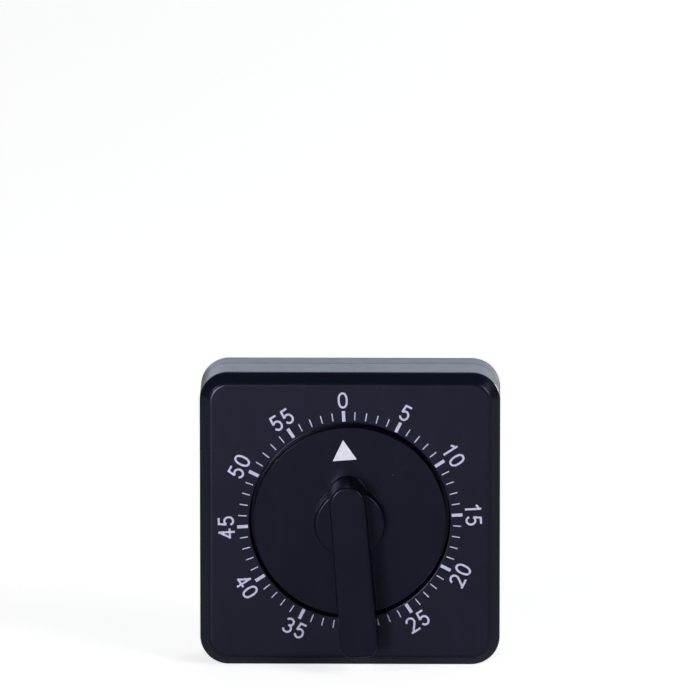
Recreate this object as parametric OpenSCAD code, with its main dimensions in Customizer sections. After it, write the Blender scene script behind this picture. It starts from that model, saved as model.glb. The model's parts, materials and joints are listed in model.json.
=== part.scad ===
// Wind-up 60-minute timer: a square moulded case, a round knob with a lever handle, a printed scale,
// and a clockwork movement with a ratchet, a gear train, an escapement, a trip lever, a hammer and a gong.
//
// The dial faces -Y and +Z is up. Depths (from, to) run back from the front face of the case, and what
// lies in front of that face has a depth below 0. Plan places are seen from the front, from the knob's axis.

/* [Case] */
// Width and height of the square case
case_w = 75; // [73:0.5:90]
// Depth of the case, front face to back face
case_d = 20; // [18:0.5:30]
// Radius of the case's upright corners
corner_r = 7.2; // [6:0.1:9]
// Width and depth of the sloped edge around the face
bevel = 2.5; // [1:0.1:3]
// Small slope around the back
back_edge = 0.8; // [0.3:0.1:1.5]
// Wall of the case's sides
side_wall = 2.2; // [1.6:0.1:2.6]
// Wall of the front face
face_wall = 2.2; // [1.6:0.1:2.6]
// Wall of the back panel
panel_wall = 2.0; // [1.8:0.1:2.2]
// Depth of the back cover's sides
cover_d = 7.7; // [6:0.1:8]
// How far the back cover's tongue reaches into the front shell
tongue_l = 1.2; // [0.8:0.1:2]
// Thickness of the tongue
tongue_t = 1.0; // [0.8:0.1:1.4]
// Depth of the round well behind the knob
well_d = 3.9; // [3.8:0.1:4.2]
// Wall and floor of the well
well_wall = 1.4; // [1.2:0.1:1.6]

/* [Case fasteners and magnets] */
// Distance of the corner screws from the case's edges
screw_inset = 8; // [7.5:0.1:9]
// Radius of the screw bosses in the front shell
boss_r = 3.0; // [2.6:0.1:3.2]
// Radius of the screw bosses in the back cover
cover_boss_r = 3.6; // [3.4:0.1:3.8]
// Radius of the case screws' shanks
case_screw_r = 1.2; // [1:0.05:1.3]
// Radius of the case screws' heads
case_head_r = 2.4; // [2.1:0.1:2.6]
// Height of the case screws' heads
case_head_h = 1.7; // [1.2:0.1:1.9]
// Depth of the screw holes in the back cover, back face to the head's seat
head_seat_d = 3.0; // [2.5:0.1:3.6]
// Wall around a magnet's pocket
pocket_wall = 1.6; // [1.2:0.1:2]
// Extra thickness of the back panel behind a magnet
pocket_pad = 0.6; // [0.4:0.1:0.8]
// How deep the case screws reach, from the front face
case_screw_tip = 5.5; // [5:0.1:8]
// Radius of the back magnets
magnet_r = 6; // [5:0.5:7]
// Thickness of the back magnets
magnet_t = 1.4; // [1:0.1:1.5]
// Distance of the magnets from the knob's axis, to the left and right
magnet_x = 25; // [24:0.5:26]
// Number of sound slots in the back panel
slots = 5; // [3:1:6]
// Length of a sound slot
slot_l = 14; // [8:1:20]
// Width of a sound slot
slot_w = 1.5; // [1:0.1:2]
// Distance between sound slots
slot_pitch = 3.2; // [3:0.1:4]

/* [Knob] */
// Radius of the knob's disc
disc_r = 24; // [22:0.5:25]
// How far the disc stands out of the face
disc_proud = 0.8; // [0.5:0.1:1.5]
// Thickness of the disc's plate
disc_t = 2.0; // [1.6:0.1:2.4]
// Slope at the edge of the disc
disc_edge = 0.3; // [0.2:0.1:0.5]
// Wall of the disc's rim
rim_wall = 1.8; // [1.4:0.1:2.4]
// Gap between the disc and the case
rim_gap = 1.05; // [0.6:0.05:1.1]
// Radius of the raised boss in the middle
hub_r = 9; // [7:0.5:11]
// Height of the raised boss over the disc
hub_h = 3.4; // [3:0.1:4.5]
// How much the boss narrows towards its top
hub_taper = 0.4; // [0.1:0.1:1]
// Width of the handle at the disc
handle_w = 9.6; // [8.6:0.1:11]
// How much each side of the handle leans in
handle_taper = 0.35; // [0.1:0.05:0.8]
// Height of the handle over the disc
handle_h = 10.5; // [8:0.5:13]
// Reach of the handle above the axis
handle_up = 11.6; // [10:0.1:13]
// Reach of the handle below the axis
handle_down = 33; // [28:0.5:34]
// Radius of the corners at the handle's lower end
tip_r = 3.2; // [2.4:0.1:4.2]
// Wall around the hollow in the handle
handle_wall = 1.8; // [1.4:0.1:2]
// Radius of the stem that holds the arbor
stem_r = 5; // [4:0.5:6]
// Wall over the arbor's end in the boss
cap_t = 0.8; // [0.6:0.1:1.2]
// Thickness of the thrust washer
washer_t = 0.4; // [0.3:0.1:0.5]
// How much wider the thrust washer is than the stem, on each side
washer_over = 0.5; // [0.3:0.1:1]
// Turn of the knob at rest, anticlockwise from upright, in degrees
knob_rest = 4.6; // [-6:0.1:6]
// Travel of the knob, stop to stop, in degrees
knob_travel = 353; // [340:1:353]
// Distance of the stop ribs from the axis
stop_r = 18; // [17:0.5:20]
// Width of a stop rib
stop_w = 0.8; // [0.6:0.1:0.9]
// Length of a stop rib along the radius
stop_l = 3; // [2:0.5:3]

/* [Printed scale] */
// Thickness of the print
print_t = 0.06; // [0.04:0.01:0.1]
// Turn of the printed scale, anticlockwise from upright, in degrees
scale_turn = 3.3; // [-6:0.1:6]
// Gap between the well's edge and the five-minute marks
mark_gap = 0.42; // [0.2:0.02:0.8]
// Length of a minute mark
minute_l = 2; // [1.5:0.1:2.5]
// Width of a minute mark
minute_w = 0.25; // [0.2:0.05:0.6]
// Length of a five-minute mark
five_l = 2.7; // [2.4:0.1:3]
// Width of a five-minute mark
five_w = 0.8; // [0.6:0.1:1.3]
// Gap between the five-minute marks and the numbers
number_gap = 0.66; // [0.1:0.01:0.8]
// Height of a digit
digit_h = 4.1; // [3.4:0.1:4.6]
// Width of a digit
digit_w = 2.5; // [2.3:0.1:3]
// Width of a digit's line
stroke = 0.5; // [0.4:0.02:0.8]
// Distance between the two digits of a number
digit_pitch = 3.25; // [3.1:0.05:3.5]
// Distance of the white triangle's point from the disc's edge
pointer_gap = 3.05; // [1:0.05:6]
// Height of the white triangle
pointer_h = 5.2; // [3:0.1:6]
// Width of the white triangle's base
pointer_w = 6; // [3:0.1:7]

/* [Movement plates] */
// Thickness of the movement's plates
plate_t = 0.8; // [0.7:0.1:1]
// Radius of the plates
plate_r = 25.5; // [25:0.1:26]
// Gap between the plate's corner ears and the case's screw bosses
ear_gap = 2.98; // [1:0.01:4]
// Width of the plate's corner ears
ear_w = 7; // [6:0.1:7.5]
// Radius of the movement screws' heads
ear_head_r = 2.2; // [1.8:0.1:2.6]
// Height of a screw head in the movement
head_h = 1.1; // [0.8:0.1:1.2]
// Radius of the movement screws' shanks
ear_screw_r = 1.1; // [0.9:0.05:1.3]
// How deep the movement screws reach into the shell
ear_screw_l = 2.2; // [1.6:0.1:2.6]
// Radius of the pillars
pillar_r = 1.9; // [1.6:0.1:2]
// Distance of the pillars from the axis
pillar_at = 23.2; // [23:0.1:23.3]
// Radius of the plate screws' shanks
plate_screw_r = 0.9; // [0.7:0.05:1]
// How deep the plate screws reach into the pillars
plate_screw_l = 3; // [2:0.1:4]
// Depth of a screwdriver slot
slot_d = 0.5; // [0.3:0.1:0.6]

/* [Winding] */
// Radius of the arbor in the knob and the front bearing
arbor_r = 2; // [1.8:0.1:2.2]
// Depth of the flat on the arbor, from its surface
arbor_flat = 0.6; // [0.4:0.1:0.8]
// Radius of the arbor's core between the plates
core_r = 2.6; // [2.4:0.1:2.8]
// Radius of the arbor's back pivot
back_pivot_r = 1.2; // [1:0.1:1.4]
// Teeth of the ratchet wheel
ratchet_teeth = 14; // [12:1:14]
// Radius of the ratchet wheel over its teeth
ratchet_r = 4.6; // [4.4:0.1:4.8]
// Height of a ratchet tooth
ratchet_tooth = 0.8; // [0.6:0.1:0.9]
// Thickness of the ratchet wheel and the click
ratchet_t = 0.8; // [0.6:0.1:1]
// Distance of the click's pin from the axis
click_at = 8; // [7.8:0.1:8.4]
// Width of the click
click_w = 0.8; // [0.6:0.1:0.9]
// Outer radius of the mainspring
spring_r = 8.2; // [7.5:0.1:8.4]
// Thickness of the mainspring's strip
strip_t = 0.25; // [0.15:0.05:0.3]
// Turns of the mainspring
spring_turns = 6; // [4:1:7]

/* [Train] */
// Teeth of the main wheel
main_teeth = 60; // [58:1:62]
// Tooth size (module) of the main wheel and its pinion
main_module = 0.5; // [0.49:0.01:0.51]
// Teeth of the second and third wheels
wheel_teeth = 50; // [48:1:50]
// Leaves of every pinion
leaves = 10; // [10:1:11]
// Tooth size (module) of the second wheel and its pinion
second_module = 0.32; // [0.31:0.01:0.32]
// Tooth size (module) of the third wheel and its pinion
third_module = 0.28; // [0.27:0.01:0.28]
// Thickness of the main wheel
main_t = 0.8; // [0.6:0.1:0.8]
// Thickness of the smaller wheels
wheel_t = 0.6; // [0.4:0.1:0.6]
// Radius of the second arbor
second_arbor_r = 0.8; // [0.6:0.05:0.9]
// Radius of the third, escape and balance arbors
fine_arbor_r = 0.65; // [0.5:0.05:0.7]
// Radius of the fine pivots in the plates
pivot_r = 0.45; // [0.35:0.05:0.5]
// Teeth of the escape wheel
escape_teeth = 24; // [20:1:26]
// Radius of the escape wheel
escape_r = 4.6; // [4:0.1:4.8]
// Thickness of the escape wheel
escape_t = 0.5; // [0.4:0.1:0.6]
// Distance from the escape arbor to the balance staff
escape_to_balance = 6.8; // [6.6:0.1:7.2]
// Radius of the pallet pins
pallet_r = 0.35; // [0.25:0.05:0.4]
// Thickness of the pallet anchor
anchor_t = 0.6; // [0.4:0.1:0.7]
// Reach of the balance bar on each side
balance_reach = 5.5; // [5:0.1:5.8]
// Radius of the round weights at the bar's ends
weight_r = 1.4; // [1.1:0.1:1.5]
// Thickness of the balance bar
bar_t = 0.8; // [0.5:0.1:1]

/* [Striking] */
// Radius of the trip cam
cam_r = 5; // [4.6:0.1:5.2]
// Thickness of the trip cam and the levers
lever_t = 0.6; // [0.4:0.1:0.6]
// Width of the levers
lever_w = 1.2; // [1:0.1:1.3]
// Width of the blade springs
blade_w = 0.35; // [0.25:0.05:0.4]
// Thickness of the hammer's arm
arm_t = 0.8; // [0.6:0.1:1]
// Radius of the gong
gong_r = 17.5; // [16:0.5:18]
// Wall of the gong
gong_wall = 0.7; // [0.5:0.1:0.8]
// Height of the gong's rim over the back plate
gong_lift = 0.7; // [0.5:0.1:0.9]
// Height of the gong
gong_h = 2.5; // [2.2:0.1:2.8]
// Height of the gong's middle over the knob's axis
gong_rise = 2.5; // [2.5:0.1:3.5]
// Gap between the gong's nut and the back panel
nut_gap = 0.6; // [0.3:0.1:1]
// Radius of the gong's post
post_r = 2; // [1.6:0.1:2.2]
// Height of the gong's nut
nut_h = 0.7; // [0.5:0.1:0.8]
// Radius of the hammer's head
hammer_r = 1.8; // [1.4:0.1:2]
// Distance of the hammer's staff from the knob's axis
staff_at = 23.5; // [23:0.1:23.5]
// Distance of the end of the hammer's tail from the knob's axis
tail_end = 16.91; // [16.5:0.01:17.5]
// Distance of the foot of the hammer's spring from the knob's axis
arm_foot = 24.3; // [24:0.1:24.5]
// Distance of the trip lever's stud from the knob's axis
trip_reach = 12.5; // [12.3:0.1:13]
// Distance of the foot of the trip lever's spring from the knob's axis
trip_foot = 17.5; // [17:0.1:18.5]
// Gap between the trip lever's end and the hammer's tail
catch_gap = 0.6; // [0.4:0.1:0.8]
// Gap between the hammer and the gong at rest
strike_gap = 0.5; // [0.4:0.05:0.8]

/* [Fits] */
// Clearance of a turning pivot in its hole
run_gap = 0.04; // [0.02:0.01:0.08]
// Clearance between pieces that are pushed together
push_gap = 0.01; // [0.005:0.005:0.02]
// Clearance of a screw in the piece that it passes through
screw_gap = 0.3; // [0.1:0.05:0.4]
// Clearance at the end of a screw's hole
tip_gap = 0.3; // [0.1:0.1:0.5]
// Clearance between pieces stacked on one arbor
stack_gap = 0.1; // [0.05:0.01:0.15]
// Clearance between the shells, and around the magnets
shell_gap = 0.1; // [0.05:0.05:0.2]
// Clearance between pieces that pass each other
pass_gap = 0.3; // [0.2:0.05:0.3]
// Play of an arbor between its shoulders
end_play = 0.2; // [0.1:0.05:0.2]

/* [Hidden] */
$fn = 72;

// The frame: the case's front face, the knob's axis and the levels behind the face
front_proud = disc_proud + handle_h;
face_y = -(case_d + front_proud) / 2 + front_proud;
axis_z = case_w / 2;
parting = case_d - cover_d;
panel_in = case_d - panel_wall;
well_r = disc_r + rim_gap;
well_back = well_d + well_wall;
mark_r = well_r + mark_gap + five_l / 2;
number_r = mark_r + five_l / 2 + number_gap + digit_h / 2;
disc_under = disc_t - disc_proud;
hub_top = disc_proud + hub_h;
skirt_end = well_d - washer_t - end_play / 2;
cut = 1;
screw_at = case_w / 2 - screw_inset;
ear_at = screw_at - (boss_r + ear_gap + ear_w / 2) / sqrt(2);
head_seat = case_d - head_seat_d;
corner_at = case_w / 2 - corner_r;

// Levels of the movement
plate_1 = well_back;
gap_1 = plate_1 + plate_t;
main_1 = gap_1 + 2 * end_play;
main_2 = main_1 + main_t;
ratchet_1 = main_2 + stack_gap;
ratchet_2 = ratchet_1 + ratchet_t;
nut_2 = panel_in - nut_gap;
crown_2 = nut_2 - nut_h;
rim_1 = crown_2 - gong_h;
plate_2 = rim_1 - gong_lift;
gap_2 = plate_2 - plate_t;
cam_2 = gap_2 - pass_gap;
cam_1 = cam_2 - lever_t;
strip_1 = ratchet_2 + 2 * end_play;
strip_2 = cam_1 - end_play;
wheel_gap = (gap_2 - main_2 - escape_t - 2 * wheel_t) / 4;
escape_1 = main_2 + wheel_gap;
escape_2 = escape_1 + escape_t;
third_1 = escape_2 + wheel_gap;
third_2 = third_1 + wheel_t;
second_1 = third_2 + wheel_gap;
second_2 = second_1 + wheel_t;
leaf_over = 0.2;
anchor_1 = escape_2 + pass_gap;
anchor_2 = anchor_1 + anchor_t;
bar_1 = third_2 + pass_gap;
bar_2 = bar_1 + bar_t;
pivot_1 = plate_1 + shell_gap;
shoulder_1 = gap_1 + end_play;
shoulder_2 = gap_2 - end_play;
pivot_2 = plate_2 - shell_gap;
arm_1 = rim_1 + 2 * pass_gap;
arm_2 = arm_1 + arm_t;

// Plan places, as polar points about the knob's axis
function polar(r, a) = [r * cos(a), r * sin(a)];
function chord_angle(length, r) = 2 * asin(length / 2 / r);
main_r = main_teeth * main_module / 2;
train_r = (main_teeth + leaves) * main_module / 2;
second_to_third = (wheel_teeth + leaves) * second_module / 2;
third_to_escape = (wheel_teeth + leaves) * third_module / 2;
second_a = 205;
third_a = second_a + chord_angle(second_to_third, train_r);
escape_a = third_a + chord_angle(third_to_escape, train_r);
balance_a = escape_a + chord_angle(escape_to_balance, train_r);
second_at = polar(train_r, second_a);
third_at = polar(train_r, third_a);
escape_at = polar(train_r, escape_a);
balance_at = polar(train_r, balance_a);
pillar_angles = [40, 105, 172, 306];
main_windows = [35, 80, 125];
gong_at = [0, gong_rise];
tenon_r = 0.7;
tenon_at = gong_at + [0, post_r / 2];
peg_r = 0.6;
hammer_at = polar(staff_at, 340);
head_at = gong_at + polar(gong_r + strike_gap + hammer_r, 5);
tail_at = polar(tail_end, 2);
trip_at = polar(trip_reach, 50);
beak_a = 35;
beak_at = polar(cam_r + pass_gap + lever_w / 2, beak_a);
hold_at = tail_at + [-catch_gap, lever_w + catch_gap];
stud_r = 1;
eye_wall = 0.7;
stud_a = 120;
stud_at = polar(spring_r + (strip_t + stack_gap) / 2 + stud_r, stud_a);
stop_angle = (360 - knob_travel) / 2;
arm_spring_foot = polar(arm_foot, 8);
trip_spring_foot = polar(trip_foot, 62);

// The click stands in a gap of the ratchet wheel, clear of the tooth's face and of its slope
ratchet_a = 200;
ratchet_step = 360 / ratchet_teeth;
ratchet_low = ratchet_r - ratchet_tooth;
click_pin_r = 0.6;
click_pin_a = ratchet_a + 50;
nose_gap = 0.12;
nose_side = click_w / 2 + nose_gap;
nose_a = atan(nose_side / ratchet_low);
nose_r = ratchet_low + ratchet_tooth * nose_a / ratchet_step + 1.1 * nose_side;
nose_at = polar(nose_r, ratchet_a + nose_a);
click_pin_at = polar(click_at, click_pin_a);

// Stands a drawing of the front view upright, with depths running back from the case's face
module from_front() {
    translate([0, face_y, axis_z]) rotate([90, 0, 0]) children();
}

// A flat piece of the drawn outline between two depths
module slab(from, to) {
    from_front() translate([0, 0, -to]) linear_extrude(to - from) children();
}

// A round piece between two depths
module rod(r, from, to, at = [0, 0]) {
    from_front() translate([at[0], at[1], -to]) cylinder(r = r, h = to - from);
}

// Outline points given as [distance, depth] for a section
function section(points) = [for (p = points) [p[0], -p[1]]];

// A turned piece from its section, about an axis at a plan place
module turned(points, at = [0, 0]) {
    from_front() translate([at[0], at[1], 0]) rotate_extrude() polygon(section(points));
}

// A turned piece in steps of [radius, depth where it ends], from a start depth
module stepped(start, steps, at = [0, 0]) {
    last = len(steps) - 1;
    turned(concat(
        [[0, start]],
        [for (i = [0:last]) each [[steps[i][0], i == 0 ? start : steps[i - 1][1]], steps[i]]],
        [[0, steps[last][1]]]), at);
}

// A straight arm with round ends, from one plan place to another. The bar is a little narrower than the
// ends, so that the outline has plain corners where they meet.
module link(a, b, w) {
    d = b - a;
    translate(a) circle(d = w);
    translate(b) circle(d = w);
    translate(a) rotate(atan2(d[1], d[0])) translate([0, -w * 0.48]) square([norm(d), w * 0.96]);
}

// A blade spring with its tip beside the piece that it returns, on a stepped foot
module blade(foot, tip, from, to, start, steps) {
    slab(from, to) link(foot, tip, blade_w);
    stepped(start, steps, foot);
}

// A screw with a slotted head, its shank towards the front
module screw(shank_r, tip, seat, head_r, head, at) {
    difference() {
        stepped(tip, [[shank_r, seat], [head_r, seat + head]], at);
        slab(seat + head - slot_d, seat + head + cut)
            translate(at) rotate(30) square([3 * head_r, 0.25 * head_r], center = true);
    }
}

// Sweeps a section around the rounded square of the case and fills the middle between two depths
module case_ring(points, panel_from, panel_to) {
    from_front() {
        for (k = [0:3]) rotate(90 * k) {
            translate([corner_at, corner_at, 0]) rotate_extrude(angle = 90) polygon(section(points));
            translate([corner_at, 0, 0]) rotate([90, 0, 0])
                linear_extrude(2 * corner_at, center = true) polygon(section(points));
        }
        translate([-corner_at, -corner_at, -panel_to])
            cube([2 * corner_at, 2 * corner_at, panel_to - panel_from]);
    }
}

// Places its children at four corners, a distance from the axis across and up
module at_corners(distance) {
    for (x = [-1, 1], y = [-1, 1]) translate([x * distance, y * distance]) children();
}

// ---- Gears ----

pressure = 25;
addendum = 0.8;
dedendum = 1.05;
backlash = 0.06;
function involute(a) = tan(a) * 180 / PI - a;

// Half the angle that a tooth covers at a radius; below the base circle the flank is radial
function tooth_half(n, m, r) =
    let (base = n * m / 2 * cos(pressure), at = acos(min(1, base / max(r, base))))
    90 / n - backlash / (n * m) * 180 / PI + involute(pressure) - involute(at);

function flank_radii(n, m) =
    let (top = n * m / 2 + addendum * m, root = n * m / 2 - dedendum * m, base = n * m / 2 * cos(pressure))
    base > root ? [root, base, (base + top) / 2, top] : [root, (root + top) / 2, top];

// A gear outline with one tooth in the direction first
module gear(n, m, first = 0) {
    radii = flank_radii(n, m);
    last = len(radii) - 1;
    polygon([for (i = [0:n - 1])
        let (a = first + 360 * i / n)
        each concat(
            [for (k = [0:last]) polar(radii[k], a - tooth_half(n, m, radii[k]))],
            [for (k = [last:-1:0]) polar(radii[k], a + tooth_half(n, m, radii[k]))])]);
}

// A pinion cut on its arbor, with pivots in both plates; a gap between leaves faces the wheel that drives it
module pinion_arbor(m, r, from, to, at, driver) {
    toward = atan2(driver[1] - at[1], driver[0] - at[0]);
    slab(from, to) translate(at) gear(leaves, m, toward + 180 / leaves);
    arbor(r, at);
}

module arbor(r, at) {
    stepped(pivot_1, [[pivot_r, shoulder_1], [r, shoulder_2], [pivot_r, pivot_2]], at);
}

// A wheel with a tooth facing the pinion that it drives, four round windows and a hole for its arbor
module train_wheel(n, m, bore, from, to, at, driven) {
    toward = atan2(driven[1] - at[1], driven[0] - at[0]);
    mean_r = (n * m / 2 + bore) / 2;
    slab(from, to) translate(at) difference() {
        gear(n, m, toward);
        circle(r = bore + push_gap);
        for (k = [0:3]) rotate(90 * k + 20) translate([mean_r, 0]) circle(r = 0.26 * n * m / 2);
    }
}

// ---- Case ----

module front_shell() {
    inner = corner_r - side_wall;
    color([0.07, 0.07, 0.09]) difference() {
        union() {
            case_ring([[0, 0], [corner_r - bevel, 0], [corner_r, bevel], [corner_r, parting],
                [inner, parting], [inner, face_wall], [0, face_wall]], 0, face_wall);
            rod(well_r + well_wall, face_wall / 2, well_back);
            slab(face_wall / 2, parting) at_corners(screw_at) circle(r = boss_r);
            slab(face_wall / 2, well_back) at_corners(ear_at) circle(r = ear_w / 2 - screw_gap);
        }
        rod(well_r, -cut, well_d);
        rod(arbor_r + run_gap, -cut, well_back + cut);
        slab(case_screw_tip - tip_gap, parting + cut) at_corners(screw_at)
            circle(r = case_screw_r + push_gap);
        slab(well_back - ear_screw_l - tip_gap, well_back + cut) at_corners(ear_at)
            circle(r = ear_screw_r + push_gap);
    }
    color([0.07, 0.07, 0.09]) slab(disc_under + 2 * pass_gap, well_d + well_wall / 2)
        rotate(knob_rest + 90 + stop_angle) translate([stop_r, 0]) square([stop_l, stop_w], center = true);
}

module back_cover() {
    tongue_out = corner_r - side_wall - shell_gap;
    tongue_in = tongue_out - tongue_t;
    color([0.09, 0.09, 0.11]) difference() {
        union() {
            case_ring([[0, panel_in], [tongue_in, panel_in], [tongue_in, parting - tongue_l],
                [tongue_out, parting - tongue_l], [tongue_out, parting], [corner_r, parting],
                [corner_r, case_d - back_edge], [corner_r - back_edge, case_d], [0, case_d]],
                panel_in, case_d);
            slab(parting, case_d - panel_wall / 2) at_corners(screw_at) circle(r = cover_boss_r);
            for (x = [-magnet_x, magnet_x])
                rod(magnet_r + pocket_wall, panel_in - pocket_pad, panel_in + panel_wall / 2, [x, 0]);
        }
        slab(parting - cut, case_d + cut) at_corners(screw_at) circle(r = case_screw_r + screw_gap);
        slab(head_seat, case_d + cut) at_corners(screw_at) circle(r = case_head_r + screw_gap);
        for (x = [-magnet_x, magnet_x])
            rod(magnet_r + shell_gap, case_d - magnet_t - shell_gap, case_d + cut, [x, 0]);
        slab(panel_in - cut, case_d + cut) for (k = [0:slots - 1])
            translate([0, slot_pitch * (k - (slots - 1) / 2)]) square([slot_l, slot_w], center = true);
    }
}

module case_screws() {
    color("silver") for (x = [-1, 1], y = [-1, 1])
        screw(case_screw_r, case_screw_tip, head_seat, case_head_r, case_head_h, screw_at * [x, y]);
}

module magnets() {
    color([0.35, 0.35, 0.37]) for (x = [-magnet_x, magnet_x])
        rod(magnet_r, case_d - magnet_t - shell_gap, case_d - shell_gap, [x, 0]);
}

// ---- Printed scale ----

module minute_marks() {
    color([0.78, 0.79, 0.88]) slab(-print_t, 0) rotate(scale_turn) for (i = [0:59]) rotate(-6 * i)
        translate([0, mark_r]) square(i % 5 == 0 ? [five_w, five_l] : [minute_w, minute_l], center = true);
}

// The line of a stroke, widened to both sides at each point
function unit(v) = v / norm(v);
function left_of(v) = [-v[1], v[0]];
function side_at(path, i) =
    let (last = len(path) - 1,
        before = left_of(unit(path[max(i, 1)] - path[max(i, 1) - 1])),
        after = left_of(unit(path[min(i, last - 1) + 1] - path[min(i, last - 1)])))
    (before + after) / (1 + before * after);
module line(path) {
    polygon(concat(
        [for (i = [0:len(path) - 1]) path[i] + side_at(path, i) * stroke / 2],
        [for (i = [len(path) - 1:-1:0]) path[i] - side_at(path, i) * stroke / 2]));
}
function bow(centre, rx, ry, from, to, steps = 14) =
    [for (i = [0:steps]) let (a = from + (to - from) * i / steps) centre + [rx * cos(a), ry * sin(a)]];

// A plain digit from 0 to 5, centred, in lines of one width
module digit(value) {
    x = (digit_w - stroke) / 2;
    y = (digit_h - stroke) / 2;
    end = stroke / 2;
    if (value == 0) {
        difference() {
            polygon([for (i = [0:35]) oval_point(10 * i, x + end, y + end)]);
            polygon([for (i = [0:35]) oval_point(10 * i, x - end, y - end)]);
        }
    }
    if (value == 1) {
        line([[0.3 * x, -y - end], [0.3 * x, y + end]]);
        line([[0.3 * x, 0.86 * y], [-0.75 * x, 0.45 * y]]);
    }
    if (value == 2) {
        line(concat(bow([0, 0.42 * y], x, 0.58 * y, 168, -30), [[-0.8 * x, -y]]));
        line([[-x - end, -y], [x + end, -y]]);
    }
    if (value == 3) {
        line(bow([0, 0.5 * y], 0.9 * x, 0.5 * y, 160, -95));
        line(bow([0, -0.46 * y], x, 0.54 * y, 95, -160));
    }
    if (value == 4) {
        line([[0.42 * x, -y - end], [0.42 * x, y + end]]);
        line([[0.42 * x, y], [-0.95 * x, -0.42 * y]]);
        line([[-x - end, -0.42 * y], [x + 1.2 * end, -0.42 * y]]);
    }
    if (value == 5) {
        line([[0.9 * x, y], [-0.66 * x, y], [-0.88 * x, -0.02 * y]]);
        line(bow([-0.02 * x, -0.38 * y], x, 0.62 * y, 146, -158));
    }
}
// A point of the nought's outline, a little squarer than an ellipse
function oval_point(a, rx, ry) =
    [rx * sign(cos(a)) * pow(abs(cos(a)), 0.86), ry * sign(sin(a)) * pow(abs(sin(a)), 0.86)];

// Numbers at the sides and above read with their tops outwards, those below with their tops inwards
module minute_numbers() {
    color([0.78, 0.79, 0.88]) slab(-print_t, 0) rotate(scale_turn) for (i = [0:11])
        rotate(-30 * i) translate([0, number_r]) rotate(i > 3 && i < 9 ? 180 : 0) {
            tens = floor(5 * i / 10);
            ones = 5 * i % 10;
            if (tens > 0) translate([-digit_pitch / 2, 0]) digit(tens);
            translate([tens > 0 ? digit_pitch / 2 : 0, 0]) digit(ones);
        }
}

// ---- Knob ----

// The arbor's outline where the knob grips it, with one flat
module d_outline(r) {
    intersection() {
        circle(r = r);
        translate([-r - cut, -r - cut]) square([2 * (r + cut), 2 * r + cut - arbor_flat]);
    }
}

// Half the handle's section, as wide as r at the disc and leaning in towards the front
module handle_section(r) {
    polygon([[0, disc_proud], [r, disc_proud], [r - handle_taper, front_proud], [0, front_proud]]);
}

// The lower end of the handle, blunt between two round corners
module handle_tip() {
    side = handle_w / 2 - tip_r;
    translate([-side, 0, 0]) rotate(180) rotate_extrude(angle = 90) handle_section(tip_r);
    translate([side, 0, 0]) rotate(270) rotate_extrude(angle = 90) handle_section(tip_r);
    rotate([90, 0, 270]) linear_extrude(2 * side, center = true) handle_section(tip_r);
}

module knob() {
    up = handle_up - handle_w / 2;
    down = handle_down - tip_r;
    half = handle_w / 2;
    color([0.07, 0.07, 0.09]) difference() {
        union() {
            turned([[0, -hub_top], [hub_r - hub_taper, -hub_top], [hub_r, -disc_proud],
                [disc_r - disc_edge, -disc_proud], [disc_r, disc_edge - disc_proud], [disc_r, skirt_end],
                [disc_r - rim_wall, skirt_end], [disc_r - rim_wall, disc_under],
                [stem_r, disc_under], [stem_r, skirt_end], [0, skirt_end]]);
            from_front() rotate(knob_rest) {
                translate([0, up, 0]) rotate_extrude(angle = 180) handle_section(half);
                translate([0, up, 0]) rotate([90, 0, 0]) linear_extrude(up + down) {
                    handle_section(half);
                    mirror([1, 0]) handle_section(half);
                }
                translate([0, -down, 0]) handle_tip();
            }
            slab(disc_under - disc_t / 2, skirt_end) rotate(knob_rest + 90)
                translate([stop_r, 0]) square([stop_l, stop_w], center = true);
        }
        slab(-front_proud + handle_wall, skirt_end + cut) rotate(knob_rest)
            link([0, -stem_r - half + handle_wall], [0, half - handle_wall - disc_r + rim_wall + cut],
                handle_w - 2 * handle_taper - 2 * handle_wall);
        slab(cap_t - hub_top, skirt_end + cut) rotate(knob_rest) d_outline(arbor_r + push_gap);
    }
}

module pointer_mark() {
    color([0.9, 0.9, 0.95]) slab(-disc_proud - print_t, -disc_proud) rotate(knob_rest)
        translate([0, disc_r - pointer_gap])
            polygon([[0, 0], [-pointer_w / 2, -pointer_h], [pointer_w / 2, -pointer_h]]);
}

module thrust_washer() {
    color([0.85, 0.8, 0.7]) slab(well_d - washer_t, well_d) difference() {
        circle(r = stem_r + washer_over);
        circle(r = arbor_r + 2 * run_gap);
    }
}

// ---- Plates ----

module pivot_holes() {
    for (at = [second_at, third_at, escape_at, balance_at, hammer_at])
        translate(at) circle(r = pivot_r + run_gap);
}

module front_plate() {
    color([0.75, 0.75, 0.78]) slab(plate_1, gap_1) difference() {
        union() {
            circle(r = plate_r);
            link([-ear_at, -ear_at], [ear_at, ear_at], ear_w);
            link([-ear_at, ear_at], [ear_at, -ear_at], ear_w);
        }
        circle(r = arbor_r + run_gap);
        at_corners(ear_at) circle(r = ear_screw_r + screw_gap);
        for (a = pillar_angles) translate(polar(pillar_at, a)) circle(r = plate_screw_r + push_gap);
        pivot_holes();
    }
}

module back_plate() {
    color([0.75, 0.75, 0.78]) slab(gap_2, plate_2) difference() {
        circle(r = plate_r);
        circle(r = back_pivot_r + run_gap);
        for (a = pillar_angles) translate(polar(pillar_at, a)) circle(r = plate_screw_r + screw_gap);
        translate(stud_at) circle(r = stud_r / 2 + push_gap);
        translate(trip_at) circle(r = pivot_r + push_gap);
        translate(tenon_at) circle(r = tenon_r + push_gap);
        translate(arm_spring_foot) circle(r = pivot_r + push_gap);
        translate(trip_spring_foot) circle(r = pivot_r + push_gap);
        pivot_holes();
        translate(hammer_at) circle(r = fine_arbor_r + run_gap);
    }
}

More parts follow.
